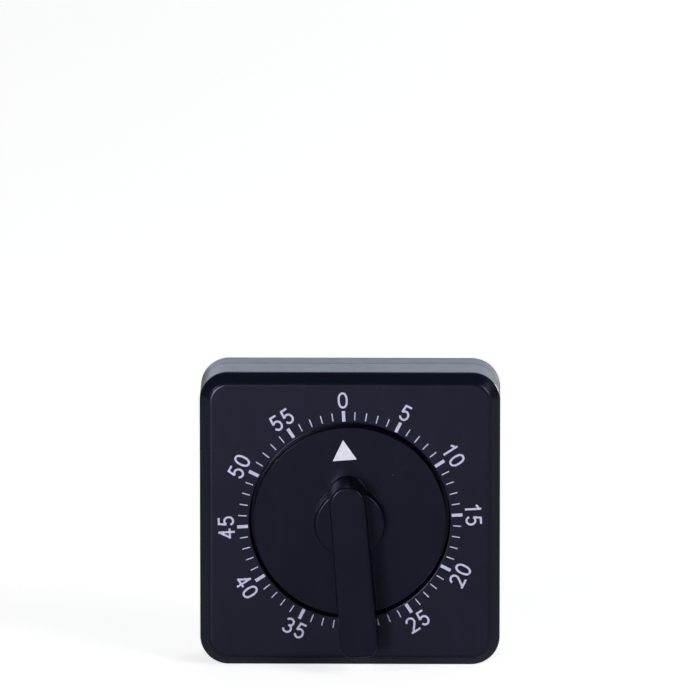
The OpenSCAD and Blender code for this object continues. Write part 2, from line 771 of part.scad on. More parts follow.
module pillars() {
    color("silver") difference() {
        for (a = pillar_angles)
            stepped(plate_1, [[plate_screw_r, gap_1], [pillar_r, gap_2]], polar(pillar_at, a));
        for (a = pillar_angles)
            rod(plate_screw_r + push_gap, gap_2 - plate_screw_l - tip_gap, gap_2 + cut, polar(pillar_at, a));
    }
}

module plate_screws() {
    color("silver") for (a = pillar_angles)
        screw(plate_screw_r, gap_2 - plate_screw_l, plate_2, 2 * plate_screw_r, head_h, polar(pillar_at, a));
}

module movement_screws() {
    color("silver") for (x = [-1, 1], y = [-1, 1])
        screw(ear_screw_r, well_back - ear_screw_l, gap_1, ear_head_r, head_h, ear_at * [x, y]);
}

// ---- Winding ----

module main_arbor() {
    start = cap_t + stack_gap - hub_top;
    color("silver") difference() {
        stepped(start, [[arbor_r, shoulder_1], [core_r, shoulder_2], [back_pivot_r, pivot_2]]);
        slab(start - cut, skirt_end) rotate(knob_rest)
            translate([-arbor_r - cut, arbor_r - arbor_flat]) square([2 * (arbor_r + cut), arbor_flat + cut]);
    }
}

module main_wheel() {
    color([0.8, 0.65, 0.3]) slab(main_1, main_2) difference() {
        gear(main_teeth, main_module, second_a);
        circle(r = core_r + push_gap);
        translate(click_pin_at) circle(r = pivot_r + push_gap);
        for (a = main_windows) translate(polar(0.64 * main_r, a)) circle(r = 0.17 * main_r);
    }
}

module ratchet_wheel() {
    color([0.7, 0.7, 0.72]) slab(ratchet_1, ratchet_2) difference() {
        polygon([for (i = [0:ratchet_teeth - 1])
            let (a = ratchet_a + i * ratchet_step) each [polar(ratchet_r, a), polar(ratchet_low, a)]]);
        circle(r = core_r + push_gap);
    }
}

module click_pin() {
    color("silver") stepped(main_1, [[pivot_r, main_2], [click_pin_r, ratchet_2]], click_pin_at);
}

module click() {
    color([0.7, 0.7, 0.72]) slab(ratchet_1, ratchet_2) difference() {
        union() {
            link(click_pin_at, nose_at, click_w);
            translate(click_pin_at) circle(r = click_pin_r + click_w);
        }
        translate(click_pin_at) circle(r = click_pin_r + run_gap);
    }
}

// A blade with its foot on the main wheel, bearing on the click's outer side
module click_spring() {
    middle = (click_pin_at + nose_at) / 2;
    away = left_of(unit(nose_at - click_pin_at));
    tip = middle + away * (click_w + blade_w + stack_gap) / 2;
    foot = tip + polar(0.65 * click_at, ratchet_a - 8);
    color("silver") blade(foot, tip, ratchet_1, ratchet_2, main_2, [[2 * blade_w, ratchet_2]]);
}

// A flat strip coiled from the arbor's core out to its stud
module mainspring() {
    inner = core_r + strip_t / 2 + stack_gap;
    steps = 24 * spring_turns;
    function coil(i) = inner + (spring_r - inner) * i / steps;
    function turn_at(i) = stud_a - 15 * (steps - i);
    color([0.45, 0.5, 0.6]) slab(strip_1, strip_2) polygon(concat(
        [for (i = [0:steps]) polar(coil(i) + strip_t / 2, turn_at(i))],
        [for (i = [steps:-1:0]) polar(coil(i) - strip_t / 2, turn_at(i))]));
}

module spring_stud() {
    color("silver") stepped(strip_1, [[stud_r, gap_2], [stud_r / 2, plate_2]], stud_at);
}

// ---- Train ----

module second_pinion() {
    color("silver")
        pinion_arbor(main_module, second_arbor_r, shoulder_1, main_2 + pass_gap, second_at, [0, 0]);
}
module second_wheel() {
    color([0.8, 0.65, 0.3])
        train_wheel(wheel_teeth, second_module, second_arbor_r, second_1, second_2, second_at, third_at);
}
module third_pinion() {
    color("silver")
        pinion_arbor(second_module, fine_arbor_r, second_1 - leaf_over, second_2 + leaf_over,
            third_at, second_at);
}
module third_wheel() {
    color([0.8, 0.65, 0.3])
        train_wheel(wheel_teeth, third_module, fine_arbor_r, third_1, third_2, third_at, escape_at);
}
module escape_pinion() {
    color("silver")
        pinion_arbor(third_module, fine_arbor_r, third_1 - leaf_over, third_2 + leaf_over,
            escape_at, third_at);
}

module escape_wheel() {
    step = 360 / escape_teeth;
    color([0.8, 0.65, 0.3]) slab(escape_1, escape_2) translate(escape_at) difference() {
        polygon([for (i = [0:escape_teeth - 1]) let (a = i * step)
            each [polar(escape_r, a), polar(escape_r, a + 0.12 * step),
                polar(0.8 * escape_r, a + 0.3 * step), polar(0.8 * escape_r, a + 0.8 * step)]]);
        circle(r = fine_arbor_r + push_gap);
        for (k = [0:3]) rotate(90 * k) translate([0.48 * escape_r, 0]) circle(r = 0.2 * escape_r);
    }
}

// Places of the two pallet pins, clear of the escape wheel over the whole swing
function pallet_at(side) =
    escape_at + polar(escape_r + 2 * pass_gap + pallet_r,
        atan2(balance_at[1] - escape_at[1], balance_at[0] - escape_at[0]) + side * 40);

module balance_staff() {
    color("silver") arbor(fine_arbor_r, balance_at);
}

module pallet_anchor() {
    color([0.7, 0.7, 0.72]) {
        slab(anchor_1, anchor_2) difference() {
            union() {
                for (side = [-1, 1]) link(balance_at, pallet_at(side), 2.5 * pallet_r);
                translate(balance_at) circle(r = 2 * fine_arbor_r);
            }
            translate(balance_at) circle(r = fine_arbor_r + push_gap);
        }
        for (side = [-1, 1]) rod(pallet_r, escape_1, anchor_1 + anchor_t / 2, pallet_at(side));
    }
}

// A bar with a weight at each end, along the radius from the knob's axis
module balance_bar() {
    ends = [for (side = [-1, 1]) balance_at + side * polar(balance_reach - weight_r, balance_a)];
    color([0.8, 0.65, 0.3]) slab(bar_1, bar_2) difference() {
        union() {
            link(ends[0], ends[1], 1.15 * weight_r);
            for (at = ends) translate(at) circle(r = weight_r);
            translate(balance_at) circle(r = weight_r);
        }
        translate(balance_at) circle(r = fine_arbor_r + push_gap);
    }
}

// ---- Striking ----

// A disc with one notch, which faces the trip lever when the knob stands at nought
module trip_cam() {
    color([0.7, 0.7, 0.72]) slab(cam_1, cam_2) difference() {
        circle(r = cam_r);
        circle(r = core_r + push_gap);
        rotate(beak_a) translate([cam_r, 0]) square(2 * lever_w, center = true);
    }
}

module trip_lever() {
    color([0.75, 0.75, 0.78]) slab(cam_1, cam_2) difference() {
        union() {
            link(trip_at, beak_at, lever_w);
            link(trip_at, hold_at, lever_w);
            translate(trip_at) circle(r = stud_r + eye_wall);
        }
        translate(trip_at) circle(r = stud_r + run_gap);
    }
}

module trip_stud() {
    color("silver")
        stepped(cam_1 - stud_r / 2, [[1.5 * stud_r, cam_1 - stack_gap], [stud_r, gap_2], [pivot_r, plate_2]],
            trip_at);
}

module trip_spring() {
    arm = hold_at - trip_at;
    tip = trip_at + arm * 0.6 + left_of(unit(arm)) * (lever_w / 2 + blade_w);
    color("silver")
        blade(trip_spring_foot, tip, cam_1, cam_2, cam_1, [[2 * blade_w, gap_2], [pivot_r, plate_2]]);
}

module hammer_staff() {
    color("silver")
        stepped(pivot_1,
            [[pivot_r, shoulder_1], [second_arbor_r, shoulder_2], [fine_arbor_r, arm_2 + end_play]],
            hammer_at);
}

module hammer_tail() {
    color([0.7, 0.7, 0.72]) slab(cam_1, cam_2) difference() {
        union() {
            link(hammer_at, tail_at, lever_w);
            translate(hammer_at) circle(r = second_arbor_r + eye_wall);
        }
        translate(hammer_at) circle(r = second_arbor_r + push_gap);
    }
}

module hammer_arm() {
    color([0.7, 0.7, 0.72]) slab(arm_1, arm_2) difference() {
        union() {
            link(hammer_at, head_at, lever_w);
            translate(hammer_at) circle(r = fine_arbor_r + 1.2 * eye_wall);
            translate(head_at) circle(r = peg_r + eye_wall);
        }
        translate(hammer_at) circle(r = fine_arbor_r + push_gap);
        translate(head_at) circle(r = peg_r + push_gap);
    }
}

module hammer_head() {
    color([0.8, 0.65, 0.3])
        stepped(rim_1 - end_play, [[hammer_r, arm_1], [peg_r, arm_2 + stack_gap]], head_at);
}

module hammer_spring() {
    arm = head_at - hammer_at;
    tip = hammer_at + arm * 0.5 - left_of(unit(arm)) * (lever_w / 2 + blade_w);
    color("silver")
        blade(arm_spring_foot, tip, arm_1, arm_2, gap_2, [[pivot_r, plate_2], [2 * blade_w, arm_2]]);
}

module gong() {
    w = gong_wall;
    color([0.78, 0.78, 0.8]) turned([[post_r / 2 + push_gap, crown_2], [0.62 * gong_r, crown_2],
        [0.88 * gong_r, crown_2 - 0.25 * gong_h], [gong_r, rim_1], [gong_r - w, rim_1],
        [0.88 * gong_r - w, crown_2 - 0.25 * gong_h - w / 2], [0.62 * gong_r - w / 2, crown_2 - w],
        [post_r / 2 + push_gap, crown_2 - w]], gong_at);
}

module gong_post() {
    color("silver") {
        stepped(plate_2, [[post_r, crown_2 - gong_wall], [post_r / 2, nut_2]], gong_at);
        rod(tenon_r, gap_2, plate_2 + gong_lift / 2, tenon_at);
    }
}

module gong_nut() {
    color("silver") from_front() translate([gong_at[0], gong_at[1], -nut_2]) difference() {
        cylinder(r = 1.7 * post_r, h = nut_h, $fn = 6);
        translate([0, 0, -cut]) cylinder(r = post_r / 2 + push_gap, h = nut_h + 2 * cut);
    }
}

front_shell();
back_cover();
case_screws();
magnets();
minute_marks();
minute_numbers();
knob();
pointer_mark();
main_arbor();
thrust_washer();
front_plate();
back_plate();
pillars();
plate_screws();
movement_screws();
main_wheel();
ratchet_wheel();
click();
click_pin();
click_spring();
mainspring();
spring_stud();
second_pinion();
second_wheel();
third_pinion();
third_wheel();
escape_pinion();
escape_wheel();
balance_staff();
pallet_anchor();
balance_bar();
trip_cam();
trip_lever();
trip_stud();
trip_spring();
hammer_staff();
hammer_tail();
hammer_arm();
hammer_head();
hammer_spring();
gong();
gong_post();
gong_nut();
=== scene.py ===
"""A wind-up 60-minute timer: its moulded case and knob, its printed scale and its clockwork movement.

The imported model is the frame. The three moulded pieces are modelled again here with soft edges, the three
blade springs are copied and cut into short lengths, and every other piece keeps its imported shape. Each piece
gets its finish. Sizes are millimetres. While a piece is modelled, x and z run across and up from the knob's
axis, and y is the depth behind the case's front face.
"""

import json
import logging
import math
from collections.abc import Callable, Iterable, Iterator
from contextlib import contextmanager
from dataclasses import dataclass, field, replace
from enum import Enum
from itertools import pairwise, product

import bmesh
import bpy
from mathutils import Matrix, Vector

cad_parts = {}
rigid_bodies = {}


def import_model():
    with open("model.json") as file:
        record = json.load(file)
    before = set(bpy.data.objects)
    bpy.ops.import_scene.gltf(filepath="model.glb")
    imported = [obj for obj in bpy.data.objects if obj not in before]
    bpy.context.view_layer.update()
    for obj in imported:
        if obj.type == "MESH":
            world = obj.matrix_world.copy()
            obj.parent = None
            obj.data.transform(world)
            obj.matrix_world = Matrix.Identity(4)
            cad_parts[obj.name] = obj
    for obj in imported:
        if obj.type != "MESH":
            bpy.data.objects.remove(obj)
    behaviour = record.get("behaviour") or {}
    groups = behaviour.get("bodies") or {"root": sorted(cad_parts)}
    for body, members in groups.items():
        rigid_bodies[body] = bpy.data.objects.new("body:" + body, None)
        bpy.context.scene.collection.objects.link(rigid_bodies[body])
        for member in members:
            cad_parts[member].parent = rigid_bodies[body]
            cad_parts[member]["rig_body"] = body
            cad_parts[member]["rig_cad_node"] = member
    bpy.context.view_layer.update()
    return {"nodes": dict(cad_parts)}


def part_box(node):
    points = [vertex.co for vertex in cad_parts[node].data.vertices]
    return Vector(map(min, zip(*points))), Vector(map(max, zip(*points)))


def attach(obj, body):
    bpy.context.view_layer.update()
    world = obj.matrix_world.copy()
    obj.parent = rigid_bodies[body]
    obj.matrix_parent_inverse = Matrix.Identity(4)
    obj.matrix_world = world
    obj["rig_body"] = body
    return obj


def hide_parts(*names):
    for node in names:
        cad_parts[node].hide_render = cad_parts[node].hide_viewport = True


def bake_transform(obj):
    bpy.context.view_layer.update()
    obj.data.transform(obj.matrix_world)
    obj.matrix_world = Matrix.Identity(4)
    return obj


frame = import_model()

MM = 0.001  # metres in a millimetre
TINY = 0.001  # how near two places lie, in millimetres, to be one
ROUND_STEPS = 5
LARGE_FACES = 160
BOSS_FACES = 48
SMOOTH_BELOW_DEGREES = 50.0
FLAT_BELOW_DEGREES = 0.05
WHITE = (1.0, 1.0, 1.0)
NOISE_RANGE = (0.1, 0.9)
log = logging.getLogger("timer")

Colour = tuple[float, float, float]
Place = tuple[float, float]  # across and up
Pair = tuple[float, float]  # a width and a height, or two ends
Corner = tuple[float, float, float]  # distance from the axis, depth, radius of the round
Axes = tuple[float, float, float]  # across, in depth and up


class Side(Enum):
    """Which way a face looks, as the sign of its normal along the depth."""

    FRONT = -1
    BACK = 1


class Join(Enum):
    """How a second solid acts on the first one."""

    ADD = "UNION"
    REMOVE = "DIFFERENCE"
    KEEP = "INTERSECT"


class Lay(Enum):
    """The pattern that making a metal piece leaves on it."""

    TURNED = "turned"
    BRUSHED = "brushed"
    TUMBLED = "tumbled"


@dataclass(frozen=True)
class Step:
    """One move of the face being shaped: how far its edge goes in, and how far it goes out of the piece."""

    inward: float = 0.0
    outward: float = 0.0


def release_all() -> None:
    """Leaves nothing selected, so that the next operator acts on its own piece alone."""
    bpy.ops.object.select_all(action="DESELECT")


def hold(thing: bpy.types.Object) -> None:
    """Makes one object the only one that operators act on.

    Args:
        thing: The object.
    """
    release_all()
    thing.select_set(True)
    bpy.context.view_layer.objects.active = thing


def rounded(corners: Iterable[Corner]) -> list[Place]:
    """Rounds the corners of a section.

    Args:
        corners: Corners as (distance from the axis, depth, radius of the round).

    Returns:
        The section's points, with an arc in place of each corner that has a radius.
    """
    listed = list(corners)
    points: list[Place] = []
    for index, (across, depth, radius) in enumerate(listed):
        here = Vector((across, depth))
        if radius == 0 or index in (0, len(listed) - 1):
            points.append((across, depth))
            continue
        before = (Vector(listed[index - 1][:2]) - here).normalized()
        after = (Vector(listed[index + 1][:2]) - here).normalized()
        half = before.angle(after) / 2
        centre = here + (before + after).normalized() * radius / math.sin(half)
        start = here + before * radius / math.tan(half) - centre
        end = here + after * radius / math.tan(half) - centre
        turn = start.angle_signed(end)
        for step in range(ROUND_STEPS + 1):
            spoke = Matrix.Rotation(-turn * step / ROUND_STEPS, 2) @ start
            points.append(tuple(centre + spoke))
    return points


def round_over(radius: float) -> Iterator[Step]:
    """Gives the moves that round the edge of a raised face.

    Args:
        radius: The round's radius.

    Yields:
        The moves, from the side towards the face.
    """
    for index in range(ROUND_STEPS):
        here, there = (math.radians(90 * count / ROUND_STEPS) for count in (index, index + 1))
        yield Step(radius * (math.cos(here) - math.cos(there)), radius * (math.sin(there) - math.sin(here)))


def flare(radius: float) -> Iterator[Step]:
    """Gives the moves that raise a face with a hollow round at its foot.

    Args:
        radius: The round's radius.

    Yields:
        The moves, from the flat towards the side.
    """
    for step in round_over(radius):
        yield Step(step.outward, step.inward)


class Solid:
    """A closed mesh under work, in millimetres about the knob's axis."""

    def __init__(self, name: str) -> None:
        """Takes the object that an operator has just added.

        Args:
            name: The piece's name.
        """
        self.thing: bpy.types.Object = bpy.context.active_object
        self.thing.name = name

    @classmethod
    def plate(cls, name: str, size: Pair, depth: float, corner: float, side: Side = Side.FRONT,
              centre: Place = (0.0, 0.0), steps: int = 20, lower: float | None = None) -> "Solid":
        """Adds a flat outline with round corners.

        Args:
            name: The piece's name.
            size: Its width and height.
            depth: Where it lies behind the case's face.
            corner: The radius of its corners.
            side: Which way it looks.
            centre: Its middle, across and up.
            steps: How many edges each corner has.
            lower: The radius of the lower corners, if they differ.

        Returns:
            The new solid, still a single face.
        """
        release_all()
        bpy.ops.mesh.primitive_plane_add(size=1.0, location=(centre[0], depth, centre[1]),
                                         rotation=(-side.value * math.pi / 2, 0.0, 0.0))
        solid = cls(name)
        solid.thing.scale = (size[0], size[1], 1.0)
        bpy.ops.object.transform_apply(location=True, rotation=True, scale=True)
        with solid.editing("VERT"):
            for end, radius in ((1, corner), (-1, corner if lower is None else lower)):
                level = centre[1] + end * size[1] / 2
                solid.pick_points(lambda point: abs(point.co.z - level) < TINY)
                bpy.ops.mesh.bevel(offset=radius, segments=steps, affect="VERTICES", clamp_overlap=False)
            bpy.ops.mesh.select_all(action="SELECT")
            bpy.ops.mesh.remove_doubles(threshold=TINY)
        return solid

    @classmethod
    def turned(cls, name: str, section: Iterable[Corner], at: Place = (0.0, 0.0),
               steps: int = LARGE_FACES) -> "Solid":
        """Draws half a section point by point and spins it about an axis along the depth.

        Args:
            name: The piece's name.
            section: Corners as (distance from the axis, depth, radius of the round).
            at: The axis's place.
            steps: How many faces go round.

        Returns:
            The new, closed solid.
        """
        points = rounded(section)
        release_all()
        bpy.ops.mesh.primitive_plane_add(size=1.0, location=(at[0] + points[0][0], points[0][1], at[1]))
        solid = cls(name)
        bpy.ops.object.transform_apply(location=True, rotation=True, scale=True)
        with solid.editing("VERT"):
            bpy.ops.mesh.select_all(action="SELECT")
            bpy.ops.mesh.merge(type="CENTER")
            for here, there in pairwise(points):
                move = (there[0] - here[0], there[1] - here[1], 0.0)
                bpy.ops.mesh.extrude_region_move(TRANSFORM_OT_translate={"value": move})
            bpy.ops.mesh.select_all(action="SELECT")
            bpy.ops.mesh.spin(steps=steps, angle=math.tau, center=(at[0], 0.0, at[1]), axis=(0.0, 1.0, 0.0))
            solid.weld()
        return solid

    @classmethod
    def rod(cls, name: str, radius: float, ends: Pair, at: Place = (0.0, 0.0), steps: int = BOSS_FACES,
            rims: Pair = (0.0, 0.0)) -> "Solid":
        """Spins a round bar along the depth, as a boss or as the cutter of a hole.

        Args:
            name: The piece's name.
            radius: Its radius.
            ends: The depths where it begins and ends.
            at: The axis's place.
            steps: How many faces go round.
            rims: The radii of the rounds at its two ends.

        Returns:
            The new, closed solid.
        """
        (front, back), (front_rim, back_rim) = ends, rims
        section = ((0, front, 0), (radius, front, front_rim), (radius, back, back_rim), (0, back, 0))
        return cls.turned(name, section, at, steps)

    @contextmanager
    def editing(self, mode: str) -> Iterator[None]:
        """Opens the piece in edit mode with nothing selected.

        Args:
            mode: What is selected: VERT, EDGE or FACE.

        Yields:
            Nothing, while the piece is open.
        """
        hold(self.thing)
        bpy.ops.object.mode_set(mode="EDIT")
        bpy.ops.mesh.select_mode(type=mode)
        bpy.ops.mesh.select_all(action="DESELECT")
        yield
        bpy.ops.object.mode_set(mode="OBJECT")

    def weld(self, within: float = TINY) -> None:
        """Merges the points that lie on each other and turns every face outwards.

        Args:
            within: How near two points lie to be one.
        """
        bpy.ops.mesh.select_all(action="SELECT")
        bpy.ops.mesh.remove_doubles(threshold=within)
        bpy.ops.mesh.normals_make_consistent(inside=False)

    def pick_middle(self, side: Side, depth: float) -> None:
        """Selects the largest face that looks one way at a depth.

        Args:
            side: Which way it looks.
            depth: Where it lies.
        """
        mesh = bmesh.from_edit_mesh(self.thing.data)
        facing = [face for face in mesh.faces if face.normal.y * side.value > 1 - TINY
                  and abs(face.calc_center_median().y - depth) < TINY]
        max(facing, key=lambda face: face.calc_area()).select_set(True)
        bmesh.update_edit_mesh(self.thing.data)

    def widen(self, upper: float, lower: float) -> None:
        """Widens the upper and the lower end of an upright outline.

        Args:
            upper: The factor across for the points above the axis.
            lower: The factor across for the points below it.
        """
        with self.editing("VERT"):
            for end, factor in ((1, upper), (-1, lower)):
                self.pick_points(lambda point: point.co.z * end > 0)
                bpy.ops.transform.resize(value=(factor, 1.0, 1.0), center_override=(0.0, 0.0, 0.0))

    def pick_points(self, wanted: Callable[[bmesh.types.BMVert], bool]) -> None:
        """Selects only the points that a test accepts.

        Args:
            wanted: The test.
        """
        mesh = bmesh.from_edit_mesh(self.thing.data)
        for point in mesh.verts:
            point.select_set(wanted(point))
        mesh.select_flush_mode()
        bmesh.update_edit_mesh(self.thing.data)

    def pick_edges(self, wanted: Callable[[bmesh.types.BMEdge], bool]) -> None:
        """Selects only the edges that a test accepts.

        Args:
            wanted: The test.
        """
        mesh = bmesh.from_edit_mesh(self.thing.data)
        for edge in mesh.edges:
            edge.select_set(wanted(edge))
        bmesh.update_edit_mesh(self.thing.data)

    def shape(self, side: Side, depth: float, steps: Iterable[Step]) -> None:
        """Shapes the piece by insets and extrusions of one face.

        Args:
            side: Which way the face looks.
            depth: Where it lies at first.
            steps: The moves, in order.
        """
        with self.editing("FACE"):
            self.pick_middle(side, depth)
            for step in steps:
                if step.inward:
                    bpy.ops.mesh.inset(thickness=step.inward, depth=step.outward)
                else:
                    move = (0.0, side.value * step.outward, 0.0)
                    bpy.ops.mesh.extrude_region_move(TRANSFORM_OT_translate={"value": move})
            self.weld()

    def close(self) -> None:
        """Fills the open end of the piece with one flat face."""
        with self.editing("EDGE"):
            self.pick_edges(lambda edge: edge.is_boundary)
            bpy.ops.mesh.edge_face_add()
            self.weld()

    def soften(self, width: float, wanted: Callable[[bmesh.types.BMEdge], bool], segments: int = 3) -> None:
        """Rounds the edges that a test accepts.

        Args:
            width: How far the round reaches from the edge.
            wanted: The test.
            segments: How many faces the round has.
        """
        with self.editing("EDGE"):
            self.pick_edges(wanted)
            bpy.ops.mesh.bevel(offset=width, segments=segments, affect="EDGES", profile=0.5)

    def soften_loop(self, width: float, depth: float, segments: int = 3) -> None:
        """Rounds every edge that lies at one depth."""
        self.soften(width, lambda edge: all(abs(vert.co.y - depth) < TINY for vert in edge.verts), segments)

    def combine(self, other: "Solid", how: Join) -> None:
        """Adds another solid to this one or cuts it away, and uses it up.

        Args:
            other: The second solid.
            how: What it does.
        """
        hold(self.thing)
        change = self.thing.modifiers.new("combine", "BOOLEAN")
        change.operation = how.value
        change.solver = "EXACT"
        change.object = other.thing
        bpy.ops.object.modifier_apply(modifier=change.name)
        bpy.data.objects.remove(other.thing)

    def turn(self, degrees: float) -> None:
        """Turns the piece about the knob's axis.

        Args:
            degrees: How far it turns, anticlockwise as seen from the front.
        """
        hold(self.thing)
        self.thing.rotation_euler = (0.0, -math.radians(degrees), 0.0)
        bpy.ops.object.transform_apply(location=True, rotation=True, scale=True)

    def flatten(self) -> None:
        """Joins the flat faces that the work has cut up."""
        with self.editing("FACE"):
            bpy.ops.mesh.select_all(action="SELECT")
            bpy.ops.mesh.dissolve_limited(angle_limit=math.radians(FLAT_BELOW_DEGREES))

    def settle(self, axis: Vector) -> bpy.types.Object:
        """Brings the finished piece to its place in the frame.

        Args:
            axis: The frame's point, in metres, where the knob's axis meets the case's face.

        Returns:
            The piece's object, unturned and unscaled, at the frame's origin.
        """
        with self.editing("VERT"):
            self.weld()
        self.thing.scale = (MM, MM, MM)
        self.thing.location = axis
        bpy.ops.object.transform_apply(location=True, rotation=True, scale=True)
        bpy.ops.object.shade_smooth_by_angle(angle=math.radians(SMOOTH_BELOW_DEGREES))
        even = self.thing.modifiers.new("even_shading", "WEIGHTED_NORMAL")
        even.keep_sharp = True
        bpy.ops.object.modifier_apply(modifier=even.name)
        return self.thing


# ---- Finishes ----


class NodeBench:
    """Lays out one material's nodes. Patterns read the object's own coordinates, in millimetres."""

    def __init__(self, name: str) -> None:
        """Starts a material.

        Args:
            name: The material's name.
        """
        self.material = bpy.data.materials.new(name)
        self.material.use_nodes = True
        self.tree = self.material.node_tree
        self.shader = next(node for node in self.tree.nodes if node.type == "BSDF_PRINCIPLED")
        self.place = self.scaled(self.add("TexCoord").outputs["Object"], 1 / MM)

    def wire(self, value: object, socket: bpy.types.NodeSocket) -> None:
        """Links a node's output to a socket, or sets the socket to a plain value.

        Args:
            value: The output or the value.
            socket: The socket.
        """
        if isinstance(value, bpy.types.NodeSocket):
            self.tree.links.new(value, socket)
        else:
            socket.default_value = value

    def add(self, kind: str, **sockets: object) -> bpy.types.Node:
        """Adds a node.

        Args:
            kind: Its type's name, without the part that all shader nodes share.
            **sockets: What goes into its sockets, by name, with _ for a space.

        Returns:
            The node.
        """
        node = self.tree.nodes.new(f"ShaderNode{kind}")
        for name, value in sockets.items():
            self.wire(value, node.inputs[name.replace("_", " ")])
        return node

    def vector(self, operation: str, first: object, second: object = None) -> object:
        """Adds a vector operation.

        Args:
            operation: What it does.
            first: The first vector.
            second: The second vector, if it takes one.

        Returns:
            Its result.
        """
        node = self.add("VectorMath")
        node.operation = operation
        self.wire(first, node.inputs[0])
        if second is not None:
            self.wire(second, node.inputs[1])
        return node.outputs["Value" if operation == "LENGTH" else "Vector"]

    def scaled(self, vector: object, factor: float) -> object:
        """Multiplies all of a vector by one factor."""
        return self.vector("MULTIPLY", vector, (factor, factor, factor))

    def number(self, operation: str, first: object, second: object) -> object:
        """Adds an operation on two numbers.

        Args:
            operation: What it does.
            first: The first number.
            second: The second number.

        Returns:
            Its result.
        """
        node = self.add("Math")
        node.operation = operation
        self.wire(first, node.inputs[0])
        self.wire(second, node.inputs[1])
        return node.outputs[0]

    def noise(self, per_mm: float, detail: float = 2.0, place: object = None, rough: float = 0.5) -> object:
        """Adds a noise.

        Args:
            per_mm: How many of its features lie in a millimetre.
            detail: How many finer layers it has.
            place: Where it is read, or None for the object's own coordinates.
            rough: How strong the finer layers are.

        Returns:
            Its value.
        """
        where = self.place if place is None else place
        return self.add("TexNoise", Vector=where, Scale=per_mm, Detail=detail, Roughness=rough).outputs["Fac"]

    def stretched(self, per_mm: Axes, detail: float) -> object:
        """Adds a noise that is drawn out along some directions.

        Args:
            per_mm: How many of its features lie in a millimetre, across, in depth and up.
            detail: How many finer layers it has.

        Returns:
            Its value.
        """
        return self.noise(1.0, detail, self.vector("MULTIPLY", self.place, per_mm))

    def spots(self, per_mm: float, reach: float, share: float) -> object:
        """Adds scattered specks.

        Args:
            per_mm: How many cells lie in a millimetre.
            reach: A speck's radius, as a share of its cell.
            share: Which share of the cells holds a speck.

        Returns:
            Their mask.
        """
        cells = self.add("TexVoronoi", Vector=self.place, Scale=per_mm, Randomness=1.0)
        near = self.number("LESS_THAN", cells.outputs["Distance"], reach)
        split = self.add("SeparateColor", Color=cells.outputs["Color"])
        return self.number("MULTIPLY", near, self.number("LESS_THAN", split.outputs[0], share))

    def remap(self, value: object, low: float, high: float, start: float = 0.0, end: float = 1.0) -> object:
        """Stretches a range of values over a new one.

        Args:
            value: The value.
            low: The old range's lower end.
            high: The old range's upper end.
            start: What the lower end becomes.
            end: What the upper end becomes.

        Returns:
            The new value, held within its range.
        """
        return self.add("MapRange", Value=value, From_Min=low, From_Max=high, To_Min=start,
                        To_Max=end).outputs["Result"]

    def blend(self, share: object, first: object, second: object) -> object:
        """Mixes two colours.

        Args:
            share: How much of the second colour shows.
            first: The first colour.
            second: The second colour.

        Returns:
            The mixed colour.
        """
        node = self.add("Mix", Factor=share)
        node.data_type = "RGBA"
        for value, name in ((first, "A"), (second, "B")):
            socket = next(item for item in node.inputs if item.name == name and item.type == "RGBA")
            self.wire(value if isinstance(value, bpy.types.NodeSocket) else (*value, 1.0), socket)
        return next(item for item in node.outputs if item.type == "RGBA")

    def relief(self, height: object, depth: float, under: object = None) -> object:
        """Adds a bump.

        Args:
            height: The pattern, from 0 to 1.
            depth: How deep it is, in millimetres.
            under: The normal of a coarser bump below it.

        Returns:
            Its normal.
        """
        node = self.add("Bump", Strength=1.0, Distance=depth * MM, Height=height)
        if under is not None:
            self.wire(under, node.inputs["Normal"])
        return node.outputs["Normal"]

    def finish(self, colour: object, roughness: object, normal: object,
               **plain: object) -> bpy.types.Material:
        """Wires the shader.

        Args:
            colour: The base colour.
            roughness: The roughness.
            normal: The normal of the finest bump.
            **plain: Values of other shader sockets, by name, with _ for a space.

        Returns:
            The material.
        """
        sockets = {"Base Color": colour, "Roughness": roughness, "Normal": normal, **plain}
        for name, value in sockets.items():
            self.wire(value, self.shader.inputs[name.replace("_", " ")])
        return self.material


